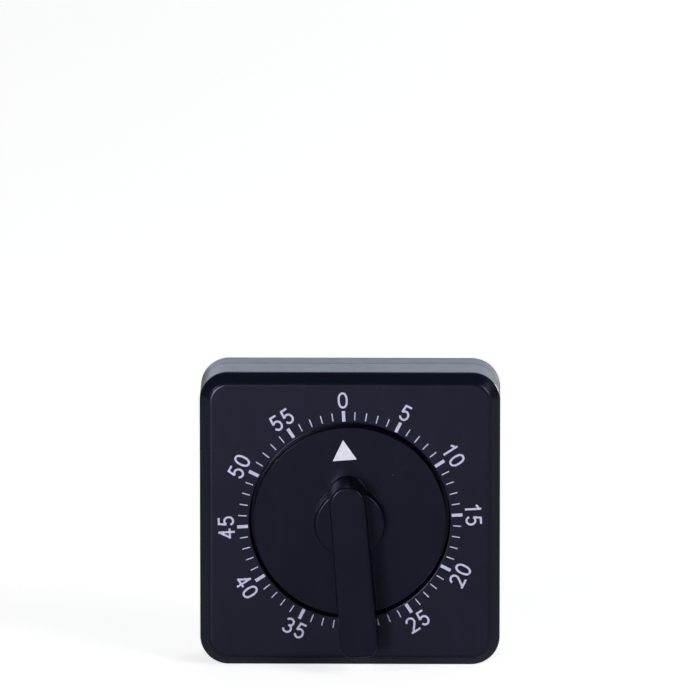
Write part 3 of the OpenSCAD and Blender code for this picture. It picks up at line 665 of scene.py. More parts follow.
@dataclass(frozen=True)
class MouldedPlastic:
    """Dark plastic from a spark-eroded mould: a fine matt grain, cloudy gloss and a few specks of dust."""

    name: str
    shade: Colour
    cloud: Colour
    tint: Colour = (0.6, 0.66, 1.0)
    roughness: float = 0.26
    specular: float = 0.38
    clouds_per_mm: float = 0.045
    cloud_gloss: float = 0.025
    flow_per_mm: float = 0.25
    flow_drawn: Axes = (1.0, 1.0, 0.25)
    flow_gloss: float = 0.03
    grain_per_mm: float = 3.2
    grain_rough: float = 0.6
    grain_depth: float = 0.004
    waves_per_mm: float = 0.12
    wave_depth: float = 0.02
    dust_per_mm: float = 0.28
    dust_reach: float = 0.035
    dust_share: float = 0.03
    dust_shade: Colour = (0.11, 0.11, 0.12)
    dust_roughness: float = 0.3

    def make(self) -> bpy.types.Material:
        """Builds the material.

        Returns:
            The material.
        """
        bench = NodeBench(self.name)
        clouds = bench.noise(self.clouds_per_mm, detail=3.0)
        grain = bench.noise(self.grain_per_mm, detail=3.0, rough=self.grain_rough)
        flow = bench.noise(self.flow_per_mm, place=bench.vector("MULTIPLY", bench.place, self.flow_drawn))
        dust = bench.spots(self.dust_per_mm, self.dust_reach, self.dust_share)
        body = bench.blend(bench.remap(clouds, *NOISE_RANGE), self.shade, self.cloud)
        swing = bench.number("ADD", bench.remap(clouds, *NOISE_RANGE, -self.cloud_gloss, self.cloud_gloss),
                             bench.remap(flow, *NOISE_RANGE, -self.flow_gloss, self.flow_gloss))
        roughness = bench.number("ADD", bench.number("ADD", swing, self.roughness),
                                 bench.number("MULTIPLY", dust, self.dust_roughness))
        waves = bench.relief(bench.noise(self.waves_per_mm, detail=1.0), self.wave_depth)
        return bench.finish(bench.blend(dust, body, self.dust_shade), roughness,
                            bench.relief(grain, self.grain_depth, waves),
                            Specular_IOR_Level=self.specular, Specular_Tint=(*self.tint, 1.0))


@dataclass(frozen=True)
class PrintedInk:
    """Pad-printed ink: a slightly uneven coat with fine pinholes."""

    name: str
    shade: Colour
    thin: Colour
    roughness: float = 0.45
    thin_roughness: float = 0.55
    specular: float = 0.35
    coat_per_mm: float = 1.6
    coat_rough: float = 0.6
    coat_range: Pair = (0.35, 0.62)
    holes_per_mm: float = 9.0
    hole_range: Pair = (0.28, 0.36)
    film_per_mm: float = 6.0
    film_depth: float = 0.003

    def make(self) -> bpy.types.Material:
        """Builds the material.

        Returns:
            The material.
        """
        bench = NodeBench(self.name)
        coat = bench.remap(bench.noise(self.coat_per_mm, detail=4.0, rough=self.coat_rough), *self.coat_range)
        pinholes = bench.remap(bench.noise(self.holes_per_mm), *self.hole_range)
        colour = bench.blend(bench.number("MULTIPLY", coat, pinholes), self.thin, self.shade)
        roughness = bench.remap(coat, 0.0, 1.0, self.thin_roughness, self.roughness)
        film = bench.relief(bench.noise(self.film_per_mm, detail=3.0), self.film_depth)
        return bench.finish(colour, roughness, film, Specular_IOR_Level=self.specular)


@dataclass(frozen=True)
class CutMetal:
    """Bare or plated metal with the lay of its tool, darker patches and a few handling marks."""

    name: str
    shade: Colour
    patch: Colour
    lay: Lay
    roughness: float = 0.28
    centre: Place = (0.0, 0.0)
    lay_depth: float = 0.002
    lay_range: Pair = (0.25, 0.75)
    lay_gloss: Pair = (-0.06, 0.08)
    rings_per_mm: float = 9.0
    ring_drift: float = 0.3
    brush_per_mm: Axes = (0.35, 9.0, 9.0)
    grit_per_mm: float = 5.0
    grit_rough: float = 0.65
    patches_per_mm: float = 0.22
    patch_rough: float = 0.6
    patch_range: Pair = (0.42, 0.68)
    patch_gloss: float = 0.12
    wear_range: Pair = (0.3, 0.7)
    least_wear: float = 0.4
    scuffs_per_mm: float = 0.9
    scuff_rough: float = 0.7
    scuff_depth: float = 0.004

    def lines(self, bench: NodeBench) -> object:
        """Lays the tool's pattern.

        Args:
            bench: The material under work.

        Returns:
            A value from 0 to 1 that follows the lay.
        """
        if self.lay is Lay.TUMBLED:
            return bench.noise(self.grit_per_mm, detail=3.0, rough=self.grit_rough)
        if self.lay is Lay.BRUSHED:
            return bench.stretched(self.brush_per_mm, detail=3.0)
        across = bench.vector("SUBTRACT", bench.place, (self.centre[0], 0.0, self.centre[1]))
        radius = bench.vector("LENGTH", bench.vector("MULTIPLY", across, (1.0, 0.0, 1.0)))
        rings = bench.add("CombineXYZ", X=bench.number("MULTIPLY", radius, self.rings_per_mm))
        drift = bench.scaled(across, self.ring_drift)
        return bench.noise(1.0, detail=3.0, place=bench.vector("ADD", rings.outputs[0], drift))

    def make(self) -> bpy.types.Material:
        """Builds the material.

        Returns:
            The material.
        """
        bench = NodeBench(self.name)
        lines = self.lines(bench)
        patches = bench.remap(bench.noise(self.patches_per_mm, detail=4.0, rough=self.patch_rough),
                              *self.patch_range)
        worn = bench.number("MULTIPLY", bench.remap(lines, *self.wear_range, self.least_wear), patches)
        roughness = bench.number(
            "ADD", bench.remap(lines, *self.lay_range, *self.lay_gloss),
            bench.remap(patches, 0.0, 1.0, self.roughness, self.roughness + self.patch_gloss))
        scuffs = bench.relief(bench.noise(self.scuffs_per_mm, detail=4.0, rough=self.scuff_rough),
                              self.scuff_depth)
        return bench.finish(bench.blend(worn, self.shade, self.patch), roughness,
                            bench.relief(lines, self.lay_depth, scuffs), Metallic=1.0)


@dataclass(frozen=True)
class BluedSpring:
    """Hardened strip: blue oxide that runs to straw where the heat was lower."""

    name: str
    blue: Colour = (0.16, 0.22, 0.38)
    straw: Colour = (0.42, 0.36, 0.27)
    heat_per_mm: float = 0.3
    heat_range: Pair = (0.5, 0.75)
    rolled_per_mm: Axes = (1.0, 14.0, 1.0)
    rolled_range: Pair = (0.25, 0.75)
    rolled_depth: float = 0.002
    smooth: float = 0.21
    rough: float = 0.36

    def make(self) -> bpy.types.Material:
        """Builds the material.

        Returns:
            The material.
        """
        bench = NodeBench(self.name)
        heat = bench.remap(bench.noise(self.heat_per_mm), *self.heat_range)
        rolled = bench.stretched(self.rolled_per_mm, detail=2.0)
        return bench.finish(bench.blend(heat, self.blue, self.straw),
                            bench.remap(rolled, *self.rolled_range, self.smooth, self.rough),
                            bench.relief(rolled, self.rolled_depth), Metallic=1.0)


@dataclass(frozen=True)
class SinteredFerrite:
    """A pressed and fired magnet: dark grey, grainy and slightly chalky."""

    name: str
    shade: Colour = (0.055, 0.055, 0.06)
    chalk: Colour = (0.12, 0.12, 0.125)
    grain_per_mm: float = 4.0
    grain_rough: float = 0.7
    grain_depth: float = 0.012
    chalk_range: Pair = (0.4, 0.75)
    scratches_per_mm: Axes = (0.5, 1.0, 6.0)
    scratch_range: Pair = (0.35, 0.7)
    gloss_range: Pair = (0.3, 0.7)
    smooth: float = 0.5
    rough: float = 0.68

    def make(self) -> bpy.types.Material:
        """Builds the material.

        Returns:
            The material.
        """
        bench = NodeBench(self.name)
        grain = bench.noise(self.grain_per_mm, detail=4.0, rough=self.grain_rough)
        scratches = bench.stretched(self.scratches_per_mm, detail=2.0)
        chalky = bench.number("MULTIPLY", bench.remap(grain, *self.chalk_range),
                              bench.remap(scratches, *self.scratch_range))
        return bench.finish(bench.blend(chalky, self.shade, self.chalk),
                            bench.remap(grain, *self.gloss_range, self.smooth, self.rough),
                            bench.relief(grain, self.grain_depth))


@dataclass(frozen=True)
class MilkyNylon:
    """Natural nylon: cream, a little clouded, with a waxy sheen."""

    name: str
    shade: Colour = (0.78, 0.74, 0.62)
    cloud: Colour = (0.68, 0.62, 0.48)
    clouds_per_mm: float = 0.5
    cloud_range: Pair = (0.35, 0.7)
    sheen_per_mm: float = 2.5
    sheen_range: Pair = (0.3, 0.7)
    smooth: float = 0.34
    rough: float = 0.46
    specular: float = 0.45
    grain_per_mm: float = 5.0
    grain_depth: float = 0.005

    def make(self) -> bpy.types.Material:
        """Builds the material.

        Returns:
            The material.
        """
        bench = NodeBench(self.name)
        clouds = bench.remap(bench.noise(self.clouds_per_mm, detail=3.0), *self.cloud_range)
        sheen = bench.noise(self.sheen_per_mm)
        return bench.finish(bench.blend(clouds, self.shade, self.cloud),
                            bench.remap(sheen, *self.sheen_range, self.smooth, self.rough),
                            bench.relief(bench.noise(self.grain_per_mm), self.grain_depth),
                            Specular_IOR_Level=self.specular)


@dataclass(frozen=True)
class StudioPaper:
    """White paper that shows as white: a glow that only the eye and gloss see, on top of its own shading."""

    name: str
    shade: Colour = (0.9, 0.9, 0.9)
    glow: float = 0.715
    far_glow: float = 1.0
    near_mm: float = 1200.0
    far_mm: float = 3500.0
    mirrored: float = 1.0
    mirrored_tone: Colour = WHITE
    tooth_per_mm: float = 1.5
    tooth_depth: float = 0.01

    def make(self) -> bpy.types.Material:
        """Builds the material.

        Returns:
            The material.
        """
        bench = NodeBench(self.name)
        tooth = bench.relief(bench.noise(self.tooth_per_mm), self.tooth_depth)
        bench.finish((*self.shade, 1.0), 1.0, tooth, Specular_IOR_Level=0.0)
        rays = bench.add("LightPath").outputs
        mirrored = bench.number("MAXIMUM", rays["Is Glossy Ray"], rays["Is Transmission Ray"])
        seen = bench.number("MAXIMUM", rays["Is Camera Ray"],
                            bench.number("MULTIPLY", mirrored, self.mirrored))
        away = bench.vector("LENGTH", bench.place)
        glow = bench.remap(away, self.near_mm, self.far_mm, self.glow, self.far_glow)
        light = bench.add("Emission", Color=bench.blend(mirrored, WHITE, self.mirrored_tone),
                          Strength=bench.number("MULTIPLY", seen, glow))
        both = bench.add("AddShader")
        bench.wire(bench.shader.outputs[0], both.inputs[0])
        bench.wire(light.outputs[0], both.inputs[1])
        output = next(node for node in bench.tree.nodes if node.type == "OUTPUT_MATERIAL")
        bench.wire(both.outputs[0], output.inputs["Surface"])
        return bench.material


def dress(piece: bpy.types.Object, material: bpy.types.Material) -> None:
    """Gives a whole piece one material."""
    piece.data.materials.clear()
    piece.data.materials.append(material)


Finish = MouldedPlastic | PrintedInk | CutMetal | BluedSpring | SinteredFerrite | MilkyNylon


def node_middle(node: str) -> Place:
    """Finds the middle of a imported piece.

    Args:
        node: The piece's name.

    Returns:
        Its place across and up, in the frame's millimetres.
    """
    low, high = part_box(node)
    middle = (low + high) / 2 / MM
    return middle.x, middle.z


def wheel_brass(node: str) -> CutMetal:
    """Gives the brass of one wheel, turned about the wheel's own middle."""
    shade, patch = (0.74, 0.56, 0.24), (0.5, 0.34, 0.13)
    return CutMetal(f"{node}_brass", shade, patch, Lay.TURNED, centre=node_middle(node))


def dress_nodes(title: str, finish: Finish, *nodes: str) -> bpy.types.Material:
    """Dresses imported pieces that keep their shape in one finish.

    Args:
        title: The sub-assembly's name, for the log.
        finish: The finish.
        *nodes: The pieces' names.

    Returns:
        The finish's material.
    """
    material = finish.make()
    for node in nodes:
        dress(frame["nodes"][node], material)
        log.info("%s: %s dressed in %s", title, node, material.name)
    return material


# ---- The blade springs ----


@dataclass(frozen=True)
class BladeSpring:
    """A straight blade on a round foot, which gives way as the piece that it presses swings.

    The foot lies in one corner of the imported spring's box, given as signs across and up, and the tip lies in
    the opposite corner.
    """

    node: str
    foot_body: str
    tip_body: str
    foot_corner: Place
    foot_radius: float = 0.7
    half_width: float = 0.175
    least_length: float = 2.1
    cuts: int = 16
    slot: str = "spring_steel"

    def build(self, material: bpy.types.Material) -> None:
        """Models the blade in short lengths, in place of the imported spring.

        Args:
            material: The blade's finish.
        """
        hold(frame["nodes"][self.node])
        bpy.ops.object.duplicate()
        bpy.ops.object.parent_clear(type="CLEAR_KEEP_TRANSFORM")
        blade = Solid(f"{self.node}_blade")
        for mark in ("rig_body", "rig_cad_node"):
            del blade.thing[mark]
        with blade.editing("VERT"):
            blade.weld(TINY * MM)
        with blade.editing("EDGE"):
            blade.pick_edges(self.runs_along)
            bpy.ops.mesh.subdivide(number_cuts=self.cuts)
        dress(blade.thing, material)
        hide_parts(self.node)
        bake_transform(blade.thing)
        log.info("springs: %s bends between %s and %s", blade.thing.name, self.foot_body, self.tip_body)

    def runs_along(self, edge: bmesh.types.BMEdge) -> bool:
        """Tells whether an edge runs along the blade, and not down its foot."""
        first, last = (vert.co for vert in edge.verts)
        return abs(first.y - last.y) < TINY * MM and (first - last).length > self.least_length * MM

    def ends(self) -> tuple[Vector, Vector]:
        """Finds where the blade leaves its foot and where its tip ends.

        Returns:
            The two points, in metres in the frame.
        """
        low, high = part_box(self.node)
        middle, half = (low + high) / 2, (high - low) / 2
        across = Vector((self.foot_corner[0], 0.0, self.foot_corner[1]))
        corner = Vector((across.x * half.x, 0.0, across.z * half.z))
        foot = middle + corner - across * self.foot_radius * MM
        tip = middle - corner + across * self.half_width * MM
        return foot + (tip - foot).normalized() * self.foot_radius * MM, tip


# ---- The moulded pieces ----


@dataclass
class CaseSizes:
    """What the two halves of the case and the knob share."""

    width: float = field(init=False)
    depth: float = field(init=False)
    parting: float = field(init=False)
    axis: Vector = field(init=False)
    corner: float = 7.2
    side_wall: float = 2.2
    seam_edge: float = 0.12
    screw_at: float = 29.5
    rim: float = 0.2
    stop_at: float = 18.0
    stop_size: Pair = (3.0, 0.8)
    stop_corner: float = 0.15
    stop_faces: int = 3
    beyond: float = 1.0

    def __post_init__(self) -> None:
        """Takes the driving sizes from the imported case."""
        low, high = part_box("front_shell")
        self.width = (high.x - low.x) / MM
        self.parting = (high.y - low.y) / MM
        self.depth = (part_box("back_cover")[1].y - low.y) / MM
        self.axis = Vector((0.0, low.y, (low.z + high.z) / 2))

    def corners(self, distance: float) -> Iterator[Place]:
        """Gives four corner places, a distance from the axis across and up."""
        yield from product((-distance, distance), repeat=2)

    def stop(self, foot: float, rise: float, turn: float) -> Solid:
        """Makes one of the two ribs that meet at both ends of the knob's travel.

        Args:
            foot: The depth where it starts.
            rise: How far it comes forward.
            turn: Its direction from the axis, in degrees from the right.

        Returns:
            The rib.
        """
        rib = Solid.plate("stop", self.stop_size, foot, self.stop_corner, centre=(self.stop_at, 0.0),
                          steps=self.stop_faces)
        rib.shape(Side.FRONT, foot, (Step(outward=rise),))
        rib.turn(turn)
        return rib


@dataclass
class FrontShell:
    """The dial side of the case, with the round well that the knob turns in."""

    sizes: CaseSizes
    slope: float = 2.5
    face_wall: float = 2.2
    well_radius: float = 25.05
    well_depth: float = 3.9
    well_wall: float = 1.4
    well_round: float = 0.3
    mouth: float = 0.3
    mouth_round: float = 0.2
    boss_radius: float = 3.0
    screw_radius: float = 1.21
    screw_start: float = 5.2
    ear_at: float = 22.797
    ear_radius: float = 3.2
    ear_screw_radius: float = 1.11
    ear_screw_start: float = 2.8
    bore_radius: float = 2.04
    stop_angle: float = 98.1
    stop_front: float = 1.8
    face_edge: float = 0.65
    side_edge: float = 0.35
    bore_faces: int = 64
    hole_faces: int = 32

    def build(self) -> bpy.types.Object:
        """Models the shell.

        Returns:
            The finished piece.
        """
        case = self.sizes
        outline = (case.width, case.width)
        shell = Solid.plate("front_shell_moulding", outline, case.parting, case.corner)
        shell.shape(Side.FRONT, case.parting,
                    (Step(outward=case.parting - self.slope), Step(self.slope, self.slope)))
        shell.soften_loop(self.side_edge, self.slope)
        shell.soften_loop(self.face_edge, 0.0)
        shell.soften_loop(case.seam_edge, case.parting, segments=2)
        shell.shape(Side.BACK, case.parting,
                    (Step(case.side_wall - case.seam_edge), Step(outward=self.face_wall - case.parting)))
        self.add_well(shell)
        self.add_bosses(shell)
        shell.flatten()
        return shell.settle(case.axis)

    def add_well(self, shell: Solid) -> None:
        """Adds the well's wall and floor and hollows it, with a soft mouth, a bore and the knob's stop.

        Args:
            shell: The shell under work.
        """
        case = self.sizes
        back = self.well_depth + self.well_wall
        wide = self.well_radius + self.mouth
        shell.combine(Solid.rod("well_wall", self.well_radius + self.well_wall, (self.face_wall / 2, back),
                                steps=LARGE_FACES, rims=(0.0, self.well_round)), Join.ADD)
        shell.combine(Solid.turned("well", (
            (0, -case.beyond, 0), (wide, -case.beyond, 0), (wide, 0, 0),
            (self.well_radius, self.mouth, self.mouth_round),
            (self.well_radius, self.well_depth, self.well_round), (0, self.well_depth, 0))), Join.REMOVE)
        shell.combine(Solid.rod("bore", self.bore_radius, (0.0, back + case.beyond), steps=self.bore_faces),
                      Join.REMOVE)
        floor = self.well_depth + self.well_wall / 2
        shell.combine(case.stop(floor, floor - self.stop_front, self.stop_angle), Join.ADD)

    def add_bosses(self, shell: Solid) -> None:
        """Adds the bosses for the case screws and for the movement's screws, with their holes.

        Args:
            shell: The shell under work.
        """
        case = self.sizes
        inside = self.face_wall / 2
        for name, apart, radius, back, hole_radius, hole_start in (
                ("boss", case.screw_at, self.boss_radius, case.parting, self.screw_radius, self.screw_start),
                ("ear_boss", self.ear_at, self.ear_radius, self.well_depth + self.well_wall,
                 self.ear_screw_radius, self.ear_screw_start)):
            for at in case.corners(apart):
                shell.combine(Solid.rod(name, radius, (inside, back), at, rims=(0.0, case.rim)), Join.ADD)
                shell.combine(Solid.rod(f"{name}_hole", hole_radius, (hole_start, back + case.beyond), at,
                                        self.hole_faces), Join.REMOVE)


@dataclass
class BackCover:
    """The back half of the case, with its tongue, screw bosses, magnet pockets and sound slots."""

    sizes: CaseSizes
    panel: float = 2.0
    edge: float = 0.8
    soft_edge: float = 0.25
    tongue_gap: float = 0.1
    tongue_wall: float = 1.0
    tongue_length: float = 1.2
    boss_radius: float = 3.6
    hole_radius: float = 1.5
    recess_radius: float = 2.7
    seat: float = 17.0
    magnet_at: float = 25.0
    pocket_radius: float = 6.1
    pocket_floor: float = 18.5
    pad_radius: float = 7.6
    pad_front: float = 17.4
    slots: int = 5
    slot_size: Pair = (14.0, 1.5)
    slot_corner: float = 0.25
    slot_faces: int = 4
    slot_pitch: float = 3.2
    lip: float = 0.2
    lip_round: float = 0.15
    hole_faces: int = 40
    recess_faces: int = BOSS_FACES
    pad_faces: int = 64
    pocket_faces: int = 80

    def build(self) -> bpy.types.Object:
        """Models the cover.

        Returns:
            The finished piece.
        """
        case = self.sizes
        side_depth = case.depth - case.parting - self.edge
        inner = case.depth - self.panel
        outline = (case.width, case.width)
        cover = Solid.plate("back_cover_moulding", outline, case.parting, case.corner, Side.BACK)
        cover.shape(Side.BACK, case.parting, (Step(outward=side_depth), Step(self.edge, self.edge)))
        cover.soften_loop(self.soft_edge, case.depth - self.edge)
        cover.soften_loop(self.soft_edge, case.depth)
        cover.soften_loop(case.seam_edge, case.parting, segments=2)
        cover.shape(Side.FRONT, case.parting, (
            Step(case.side_wall + self.tongue_gap - case.seam_edge), Step(outward=self.tongue_length),
            Step(self.tongue_wall), Step(outward=case.parting - self.tongue_length - inner)))
        self.add_bosses(cover, inner)
        self.cut_back(cover, inner)
        cover.flatten()
        return cover.settle(case.axis)

    def add_bosses(self, cover: Solid, inner: float) -> None:
        """Adds the screw bosses and the thicker pads behind the magnets.

        Args:
            cover: The cover under work.
            inner: The depth of the panel's inner side.
        """
        case = self.sizes
        middle = (inner + case.depth) / 2
        rims = (case.rim, 0.0)
        for at in case.corners(case.screw_at):
            boss = Solid.rod("boss", self.boss_radius, (case.parting, middle), at, rims=rims)
            cover.combine(boss, Join.ADD)
        for across in (-self.magnet_at, self.magnet_at):
            cover.combine(Solid.rod("pad", self.pad_radius, (self.pad_front, middle), (across, 0.0),
                                    self.pad_faces, rims), Join.ADD)

    def pit(self, name: str, radius: float, floor: float, at: Place, steps: int) -> Solid:
        """Makes the cutter of a round pit in the back, with a soft mouth.

        Args:
            name: The cutter's name.
            radius: The pit's radius.
            floor: The depth of its floor.
            at: Its place.
            steps: How many faces go round.

        Returns:
            The cutter.
        """
        back, end = self.sizes.depth, self.sizes.depth + self.sizes.beyond
        wide = radius + self.lip
        return Solid.turned(name, (
            (0, floor, 0), (radius, floor, 0), (radius, back - self.lip, self.lip_round), (wide, back, 0),
            (wide, end, 0), (0, end, 0)), at, steps)

    def cut_back(self, cover: Solid, inner: float) -> None:
        """Cuts the screw holes, the magnets' pockets and the sound slots.

        Args:
            cover: The cover under work.
            inner: The depth of the panel's inner side.
        """
        case = self.sizes
        for at in case.corners(case.screw_at):
            recess = self.pit("recess", self.recess_radius, self.seat, at, self.recess_faces)
            cover.combine(recess, Join.REMOVE)
            ends = (case.parting - case.beyond, self.seat + case.beyond)
            cover.combine(Solid.rod("hole", self.hole_radius, ends, at, self.hole_faces), Join.REMOVE)
        for across in (-self.magnet_at, self.magnet_at):
            cover.combine(self.pit("pocket", self.pocket_radius, self.pocket_floor, (across, 0.0),
                                   self.pocket_faces), Join.REMOVE)
        start = inner - case.beyond
        for row in range(self.slots):
            up = self.slot_pitch * (row - (self.slots - 1) / 2)
            slot = Solid.plate("slot", self.slot_size, start, self.slot_corner, Side.BACK, (0.0, up),
                               self.slot_faces)
            slot.shape(Side.BACK, start, (Step(outward=case.depth - self.lip - start),
                                          Step(-self.lip, self.lip), Step(outward=case.beyond)))
            cover.combine(slot, Join.REMOVE)


@dataclass
class Knob:
    """The round knob with its boss, its lever handle and the stem behind them."""

    sizes: CaseSizes
    rest: float = 4.6
    disc_radius: float = 24.0
    disc_front: float = -0.8
    disc_under: float = 1.2
    disc_edge: float = 0.12
    skirt_end: float = 3.4
    skirt_edge: float = 0.2
    skirt_round: float = 0.3
    rim_wall: float = 1.8
    hub_radius: float = 9.0
    hub_taper: float = 0.4
    hub_front: float = -4.2
    stem_radius: float = 5.0
    handle_width: float = 9.6
    handle_flare: float = 0.03
    handle_taper: float = 0.35
    handle_front: float = -11.3
    handle_up: float = 11.6
    handle_down: float = 33.0
    tip_corner: float = 3.2
    handle_wall: float = 1.8
    hollow_reach: float = 18.2
    hollow_start: float = 8.0
    hollow_faces: int = 12
    bore_radius: float = 2.01
    bore_end: float = -3.4
    bore_flat: float = 1.41
    handle_edge: float = 0.65
    hub_edge: float = 0.6
    foot_round: float = 0.35
    hub_foot_round: float = 0.15
    overlap: float = 0.01

    def build(self) -> bpy.types.Object:
        """Models the knob.

        Returns:
            The finished piece.
        """
        knob = self.disc()
        knob.combine(self.handle(), Join.ADD)
        knob.combine(self.foot(self.disc_front, self.disc_radius - 2 * self.disc_edge), Join.ADD)
        knob.combine(self.foot(self.hub_front, self.hub_radius - self.hub_taper - self.hub_edge), Join.ADD)
        knob.combine(self.hollow(), Join.REMOVE)
        knob.combine(self.bore(), Join.REMOVE)
        rise = self.skirt_end - self.disc_under + self.sizes.beyond
        knob.combine(self.sizes.stop(self.skirt_end, rise, self.rest + 90.0), Join.ADD)
        knob.flatten()
        return knob.settle(self.sizes.axis)

    def disc(self) -> Solid:
        """Spins the disc with its rim, its boss and the stem behind it.

        Returns:
            The solid that the rest of the knob is added to.
        """
        rim = self.disc_radius - self.rim_wall
        return Solid.turned("knob_moulding", (
            (0, self.hub_front, 0), (self.hub_radius - self.hub_taper, self.hub_front, self.hub_edge),
            (self.hub_radius, self.disc_front, self.hub_foot_round),
            (self.disc_radius, self.disc_front, self.disc_edge),
            (self.disc_radius, self.skirt_end, self.skirt_edge), (rim, self.skirt_end, self.skirt_edge),
            (rim, self.disc_under, self.skirt_round), (self.stem_radius, self.disc_under, self.skirt_round),
            (self.stem_radius, self.skirt_end, self.skirt_edge), (0, self.skirt_end, 0)))

    def handle_plate(self, name: str, depth: float, spread: float) -> Solid:
        """Starts a solid with the handle's outline, which is a little wider at its lower end.

        Args:
            name: The solid's name.
            depth: Where the outline lies.
            spread: How far it lies outside the handle's own outline at the disc.

        Returns:
            The solid, still a single face, upright.
        """
        size = (self.handle_width + 2 * spread, self.handle_up + self.handle_down + 2 * spread)
        centre = (0.0, (self.handle_up - self.handle_down) / 2)
        outline = Solid.plate(name, size, depth, size[0] / 2, centre=centre, lower=self.tip_corner + spread)
        outline.widen(1 - self.handle_flare, 1 + self.handle_flare)
        return outline

    def handle(self) -> Solid:
        """Models the lever, which leans in from the disc to its rounded front edge.

        Returns:
            The lever, in its place at rest.
        """
        base = self.disc_front + self.overlap
        handle = self.handle_plate("handle", base, 0.0)
        side = Step(self.handle_taper, base - self.handle_front - self.handle_edge)
        handle.shape(Side.FRONT, base, (side, *round_over(self.handle_edge)))
        handle.close()
        handle.turn(self.rest)
        return handle

    def foot(self, level: float, reach: float) -> Solid:
        """Models the hollow round where the handle's side meets a flat.

        Args:
            level: The depth of the flat.
            reach: How far from the axis the flat goes.

        Returns:
            The solid, which ends inside the handle.
        """
        base = level + self.overlap
        lean = self.handle_taper * (self.disc_front - level) / (self.disc_front - self.handle_front)
        foot = self.handle_plate("foot", base, self.foot_round - lean - 2 * self.overlap)
        foot.shape(Side.FRONT, base, flare(self.foot_round))
        foot.close()
        foot.turn(self.rest)
        top = base - self.foot_round - self.sizes.beyond
        foot.combine(Solid.rod("reach", reach, (top, self.skirt_end), steps=LARGE_FACES), Join.KEEP)
        return foot

    def hollow(self) -> Solid:
        """Makes the cutter that cores the handle from behind.

        Returns:
            The cutter.
        """
        width = self.handle_width - 2 * self.handle_taper - 2 * self.handle_wall
        length = self.hollow_reach - self.hollow_start + width
        start = self.skirt_end + self.sizes.beyond
        hollow = Solid.plate("hollow", (width, length), start, width / 2,
                             centre=(0.0, -(self.hollow_reach + self.hollow_start) / 2),
                             steps=self.hollow_faces)
        hollow.shape(Side.FRONT, start, (Step(outward=start - self.handle_front - self.handle_wall),))
        hollow.turn(self.rest)
        return hollow

    def bore(self) -> Solid:
        """Makes the cutter of the arbor's hole, with its flat side.

        Returns:
            The cutter.
        """
        bore = Solid.rod("bore", self.bore_radius, (self.bore_end, self.skirt_end + self.sizes.beyond))
        with bore.editing("VERT"):
            bpy.ops.mesh.select_all(action="SELECT")
            bpy.ops.mesh.bisect(plane_co=(0.0, 0.0, self.bore_flat), plane_no=(0.0, 0.0, 1.0),
                                use_fill=True, clear_outer=True)
            bore.weld()
        bore.turn(self.rest)
        return bore


# ---- Sub-assemblies ----


@dataclass
class Case:
    """The two shells, their screws and the magnets."""

    sizes: CaseSizes
    shell: MouldedPlastic = MouldedPlastic("case_plastic", (0.0036, 0.004, 0.0094), (0.0052, 0.0057, 0.0125))
    cover: MouldedPlastic = MouldedPlastic("cover_plastic", (0.004, 0.0045, 0.0098), (0.0058, 0.0063, 0.013),
                                           roughness=0.29)
    screw: CutMetal = CutMetal("screw_steel", (0.6, 0.6, 0.62), (0.4, 0.4, 0.43), Lay.BRUSHED)
    magnet: SinteredFerrite = SinteredFerrite("magnet_ferrite")

    def build(self) -> None:
        """Models, dresses and places the case."""
        shell = FrontShell(self.sizes).build()
        cover = BackCover(self.sizes).build()
        for piece, node, slot, finish in ((shell, "front_shell", "shell_black", self.shell),
                                          (cover, "back_cover", "cover_black", self.cover)):
            dress(piece, finish.make())
            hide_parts(node)
            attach(piece, "case")
            log.info("case: %s modelled with %d faces", piece.name, len(piece.data.polygons))
        dress_nodes("case", self.screw, "case_screws")
        dress_nodes("case", self.magnet, "magnets")


@dataclass
class Dial:
    """The printed scale on the case and the white triangle on the knob."""

    scale: PrintedInk = PrintedInk("scale_ink", (0.58, 0.59, 0.79), (0.44, 0.45, 0.62))
    pointer: PrintedInk = PrintedInk("pointer_ink", (0.79, 0.8, 0.9), (0.68, 0.69, 0.8))

    def build(self) -> None:
        """Dresses the print."""
        dress_nodes("dial", self.scale, "minute_marks", "minute_numbers")
        dress_nodes("dial", self.pointer, "pointer_mark")


@dataclass
class Winder:
    """The knob on its arbor, with the washer, the main wheel, the ratchet and the mainspring."""

    sizes: CaseSizes
    plastic: MouldedPlastic = MouldedPlastic("knob_plastic", (0.0026, 0.0029, 0.0074),
                                             (0.0036, 0.004, 0.0096), specular=0.26, dust_share=0.015)
    steel: CutMetal = CutMetal("arbor_steel", (0.58, 0.58, 0.6), (0.38, 0.38, 0.41), Lay.TUMBLED, 0.24)
    hard: CutMetal = CutMetal("ratchet_steel", (0.5, 0.5, 0.52), (0.34, 0.34, 0.37), Lay.BRUSHED, 0.32)
    nylon: MilkyNylon = MilkyNylon("washer_nylon")
    strip: BluedSpring = BluedSpring("strip_steel")

    def build(self) -> None:
        """Models the knob and dresses what turns with it."""
        knob = Knob(self.sizes).build()
        dress(knob, self.plastic.make())
        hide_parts("knob")
        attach(knob, "winder")
        log.info("winder: %s modelled with %d faces", knob.name, len(knob.data.polygons))
        dress_nodes("winder", self.steel, "main_arbor", "click_pin", "spring_stud")
        dress_nodes("winder", self.hard, "ratchet_wheel", "click", "trip_cam")
        dress_nodes("winder", wheel_brass("main_wheel"), "main_wheel")
        dress_nodes("winder", self.nylon, "thrust_washer")
        spring = dress_nodes("winder", self.strip, "mainspring")
        BladeSpring("click_spring", "winder", "click_arm", (-1, -1)).build(spring)


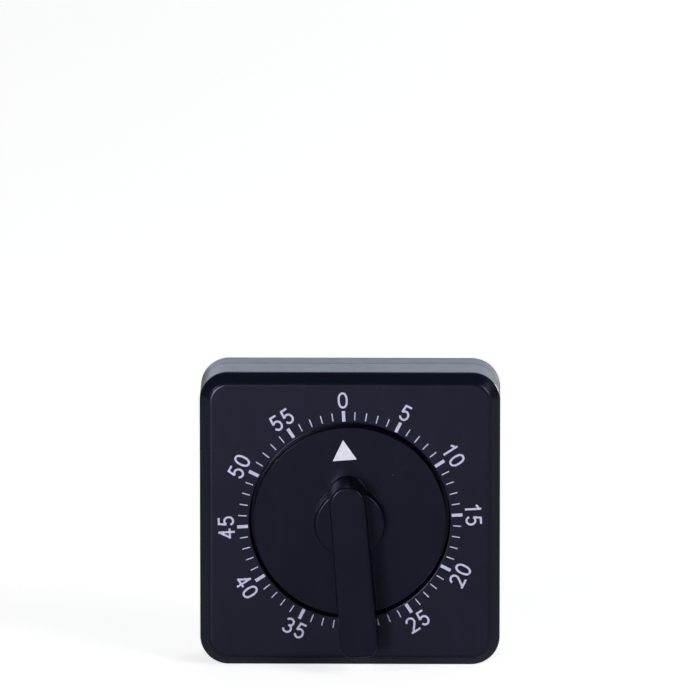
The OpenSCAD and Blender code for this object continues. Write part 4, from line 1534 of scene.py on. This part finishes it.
@dataclass
class Movement:
    """The plates with their pillars and screws, and the gear train with its escapement."""

    plate: CutMetal = CutMetal("plate_steel", (0.6, 0.6, 0.58), (0.42, 0.41, 0.38), Lay.BRUSHED, 0.34)
    pillar: CutMetal = CutMetal("pillar_steel", (0.58, 0.58, 0.6), (0.4, 0.4, 0.42), Lay.TUMBLED, 0.26)
    screw: CutMetal = CutMetal("small_screw_steel", (0.62, 0.62, 0.64), (0.42, 0.42, 0.45), Lay.TUMBLED, 0.22)
    pinion: CutMetal = CutMetal("pinion_steel", (0.56, 0.56, 0.58), (0.38, 0.38, 0.4), Lay.TUMBLED, 0.22)
    balance: CutMetal = CutMetal("balance_brass", (0.76, 0.58, 0.26), (0.52, 0.36, 0.14), Lay.BRUSHED)

    def build(self) -> None:
        """Dresses the movement."""
        dress_nodes("movement", self.plate, "front_plate", "back_plate")
        dress_nodes("movement", self.pillar, "pillars")
        dress_nodes("movement", self.screw, "plate_screws", "movement_screws")
        for name in ("second_wheel", "third_wheel", "escape_wheel"):
            dress_nodes("train", wheel_brass(name), name)
        dress_nodes("train", self.pinion, "second_pinion", "third_pinion", "escape_pinion", "balance_staff",
                    "pallet_anchor")
        dress_nodes("train", self.balance, "balance_bar")


@dataclass
class Strike:
    """The trip lever, the hammer and the gong."""

    lever: CutMetal = CutMetal("lever_steel", (0.58, 0.58, 0.57), (0.4, 0.4, 0.38), Lay.BRUSHED, 0.32)
    post: CutMetal = CutMetal("post_steel", (0.58, 0.58, 0.6), (0.4, 0.4, 0.42), Lay.TUMBLED, 0.25)
    brass: CutMetal = CutMetal("hammer_brass", (0.76, 0.58, 0.26), (0.5, 0.35, 0.13), Lay.TUMBLED, 0.25)
    nickel: CutMetal = CutMetal("gong_nickel", (0.7, 0.69, 0.67), (0.55, 0.53, 0.5), Lay.TURNED, 0.2)
    blade: BluedSpring = BluedSpring("blade_steel")

    def build(self) -> None:
        """Dresses the striking work."""
        dress_nodes("strike", self.lever, "trip_lever", "hammer_tail", "hammer_arm")
        dress_nodes("strike", self.post, "trip_stud", "hammer_staff", "gong_post")
        dress_nodes("strike", self.brass, "hammer_head", "gong_nut")
        dress_nodes("strike", replace(self.nickel, centre=node_middle("gong")), "gong")
        spring = self.blade.make()
        BladeSpring("trip_spring", "case", "trip", (-1, 1)).build(spring)
        BladeSpring("hammer_spring", "case", "hammer", (1, 1)).build(spring)


# ---- The studio ----


@dataclass(frozen=True)
class Lamp:
    """A square soft lamp: its place and its width in metres, and its power in watts."""

    name: str
    place: Axes
    size: float
    watts: float


@dataclass
class Studio:
    """The floor and backdrop, the lamps and the camera."""

    target: Vector = field(default_factory=lambda: Vector((0.0, 0.0, 0.0375)))
    distance: float = 3.0
    elevation: float = 13.4
    azimuth: float = 0.6
    pixels_per_metre: float = 4000.0
    picture: int = 700
    target_pixel: Place = (350.0, 516.8)
    sensor: float = 36.0
    clip: Pair = (0.01, 20.0)
    floor_size: float = 14.0
    floor_mirrored: float = 0.05
    backdrop_size: float = 11.0
    backdrop_at: float = 4.0
    backdrop_glow: float = 0.93
    backdrop_mirrored: float = 1.16
    backdrop_tone: Colour = (0.77, 0.84, 1.0)
    air_tone: Colour = (0.8, 0.85, 1.0)
    air_strength: float = 0.05
    lamps: tuple[Lamp, ...] = (
        Lamp("key_lamp", (-0.58, -1.62, 0.14), 0.42, 20.0),
        Lamp("right_lamp", (0.95, -0.62, 0.6), 0.6, 5.4),
        Lamp("left_lamp", (-1.0, -0.9, 0.7), 0.25, 2.6),
        Lamp("top_lamp", (0.0, 0.27, 1.0), 0.3, 0.55),
        Lamp("back_lamp", (1.15, 1.45, 0.22), 0.5, 17.0),
    )

    def build(self) -> None:
        """Sets up everything that isn't the object."""
        self.add_paper()
        for lamp in self.lamps:
            self.add_lamp(lamp)
        self.add_air()
        self.add_camera()
        bpy.context.scene.view_settings.view_transform = "Standard"

    def add_paper(self) -> None:
        """Adds the floor and the upright backdrop behind it."""
        release_all()
        bpy.ops.mesh.primitive_plane_add(size=self.floor_size, location=(0.0, 0.0, 0.0))
        floor = bpy.context.active_object
        floor.name = "floor"
        dress(floor, StudioPaper("floor_paper", mirrored=self.floor_mirrored).make())
        bpy.ops.mesh.primitive_plane_add(size=self.backdrop_size, rotation=(math.pi / 2, 0.0, 0.0),
                                         location=(0.0, self.backdrop_at, self.backdrop_size / 2))
        backdrop = bpy.context.active_object
        backdrop.name = "backdrop"
        paper = StudioPaper("backdrop_paper", glow=self.backdrop_glow, mirrored=self.backdrop_mirrored,
                            mirrored_tone=self.backdrop_tone)
        dress(backdrop, paper.make())

    def add_lamp(self, lamp: Lamp) -> None:
        """Adds a lamp that shines at the object.

        Args:
            lamp: The lamp.
        """
        aim = (self.target - Vector(lamp.place)).to_track_quat("-Z", "Y").to_euler()
        bpy.ops.object.light_add(type="AREA", location=lamp.place, rotation=aim)
        light = bpy.context.active_object
        light.name = lamp.name
        light.data.size = lamp.size
        light.data.energy = lamp.watts

    def add_air(self) -> None:
        """Adds a dim, even world that the eye sees as white."""
        world = bpy.data.worlds.new("studio_air")
        bpy.context.scene.world = world
        world.use_nodes = True
        tree = world.node_tree
        air = next(node for node in tree.nodes if node.type == "BACKGROUND")
        air.inputs["Color"].default_value = (*self.air_tone, 1.0)
        air.inputs["Strength"].default_value = self.air_strength
        seen = tree.nodes.new("ShaderNodeBackground")
        rays = tree.nodes.new("ShaderNodeLightPath")
        chosen = tree.nodes.new("ShaderNodeMixShader")
        output = next(node for node in tree.nodes if node.type == "OUTPUT_WORLD")
        seen.inputs["Color"].default_value = (*WHITE, 1.0)
        tree.links.new(rays.outputs["Is Camera Ray"], chosen.inputs[0])
        tree.links.new(air.outputs[0], chosen.inputs[1])
        tree.links.new(seen.outputs[0], chosen.inputs[2])
        tree.links.new(chosen.outputs[0], output.inputs["Surface"])

    def add_camera(self) -> None:
        """Adds the camera at the viewing angle, with the object low in the picture."""
        turn, rise = math.radians(self.azimuth), math.radians(self.elevation)
        away = Vector((math.sin(turn) * math.cos(rise), -math.cos(turn) * math.cos(rise), math.sin(rise)))
        place = self.target + away * self.distance
        right = Vector((math.cos(turn), math.sin(turn), 0.0))
        up = right.cross(-away)
        middle = self.picture / 2
        aim = (self.target + right * (middle - self.target_pixel[0]) / self.pixels_per_metre
               - up * (middle - self.target_pixel[1]) / self.pixels_per_metre)
        look = (aim - place).to_track_quat("-Z", "Y").to_euler()
        bpy.ops.object.camera_add(location=place, rotation=look)
        camera = bpy.context.active_object
        camera.name = "camera"
        camera.data.sensor_width = self.sensor
        camera.data.lens = self.pixels_per_metre * self.distance / self.picture * self.sensor
        camera.data.clip_start, camera.data.clip_end = self.clip
        bpy.context.scene.camera = camera


def main() -> None:
    """Builds the timer and its studio in order."""
    logging.basicConfig(level=logging.INFO, format="%(name)s %(message)s")
    sizes = CaseSizes()
    for assembly in (Case(sizes), Dial(), Winder(sizes), Movement(), Strike(), Studio()):
        assembly.build()
        log.info("%s is in place", type(assembly).__name__)


if __name__ == "__main__":
    main()
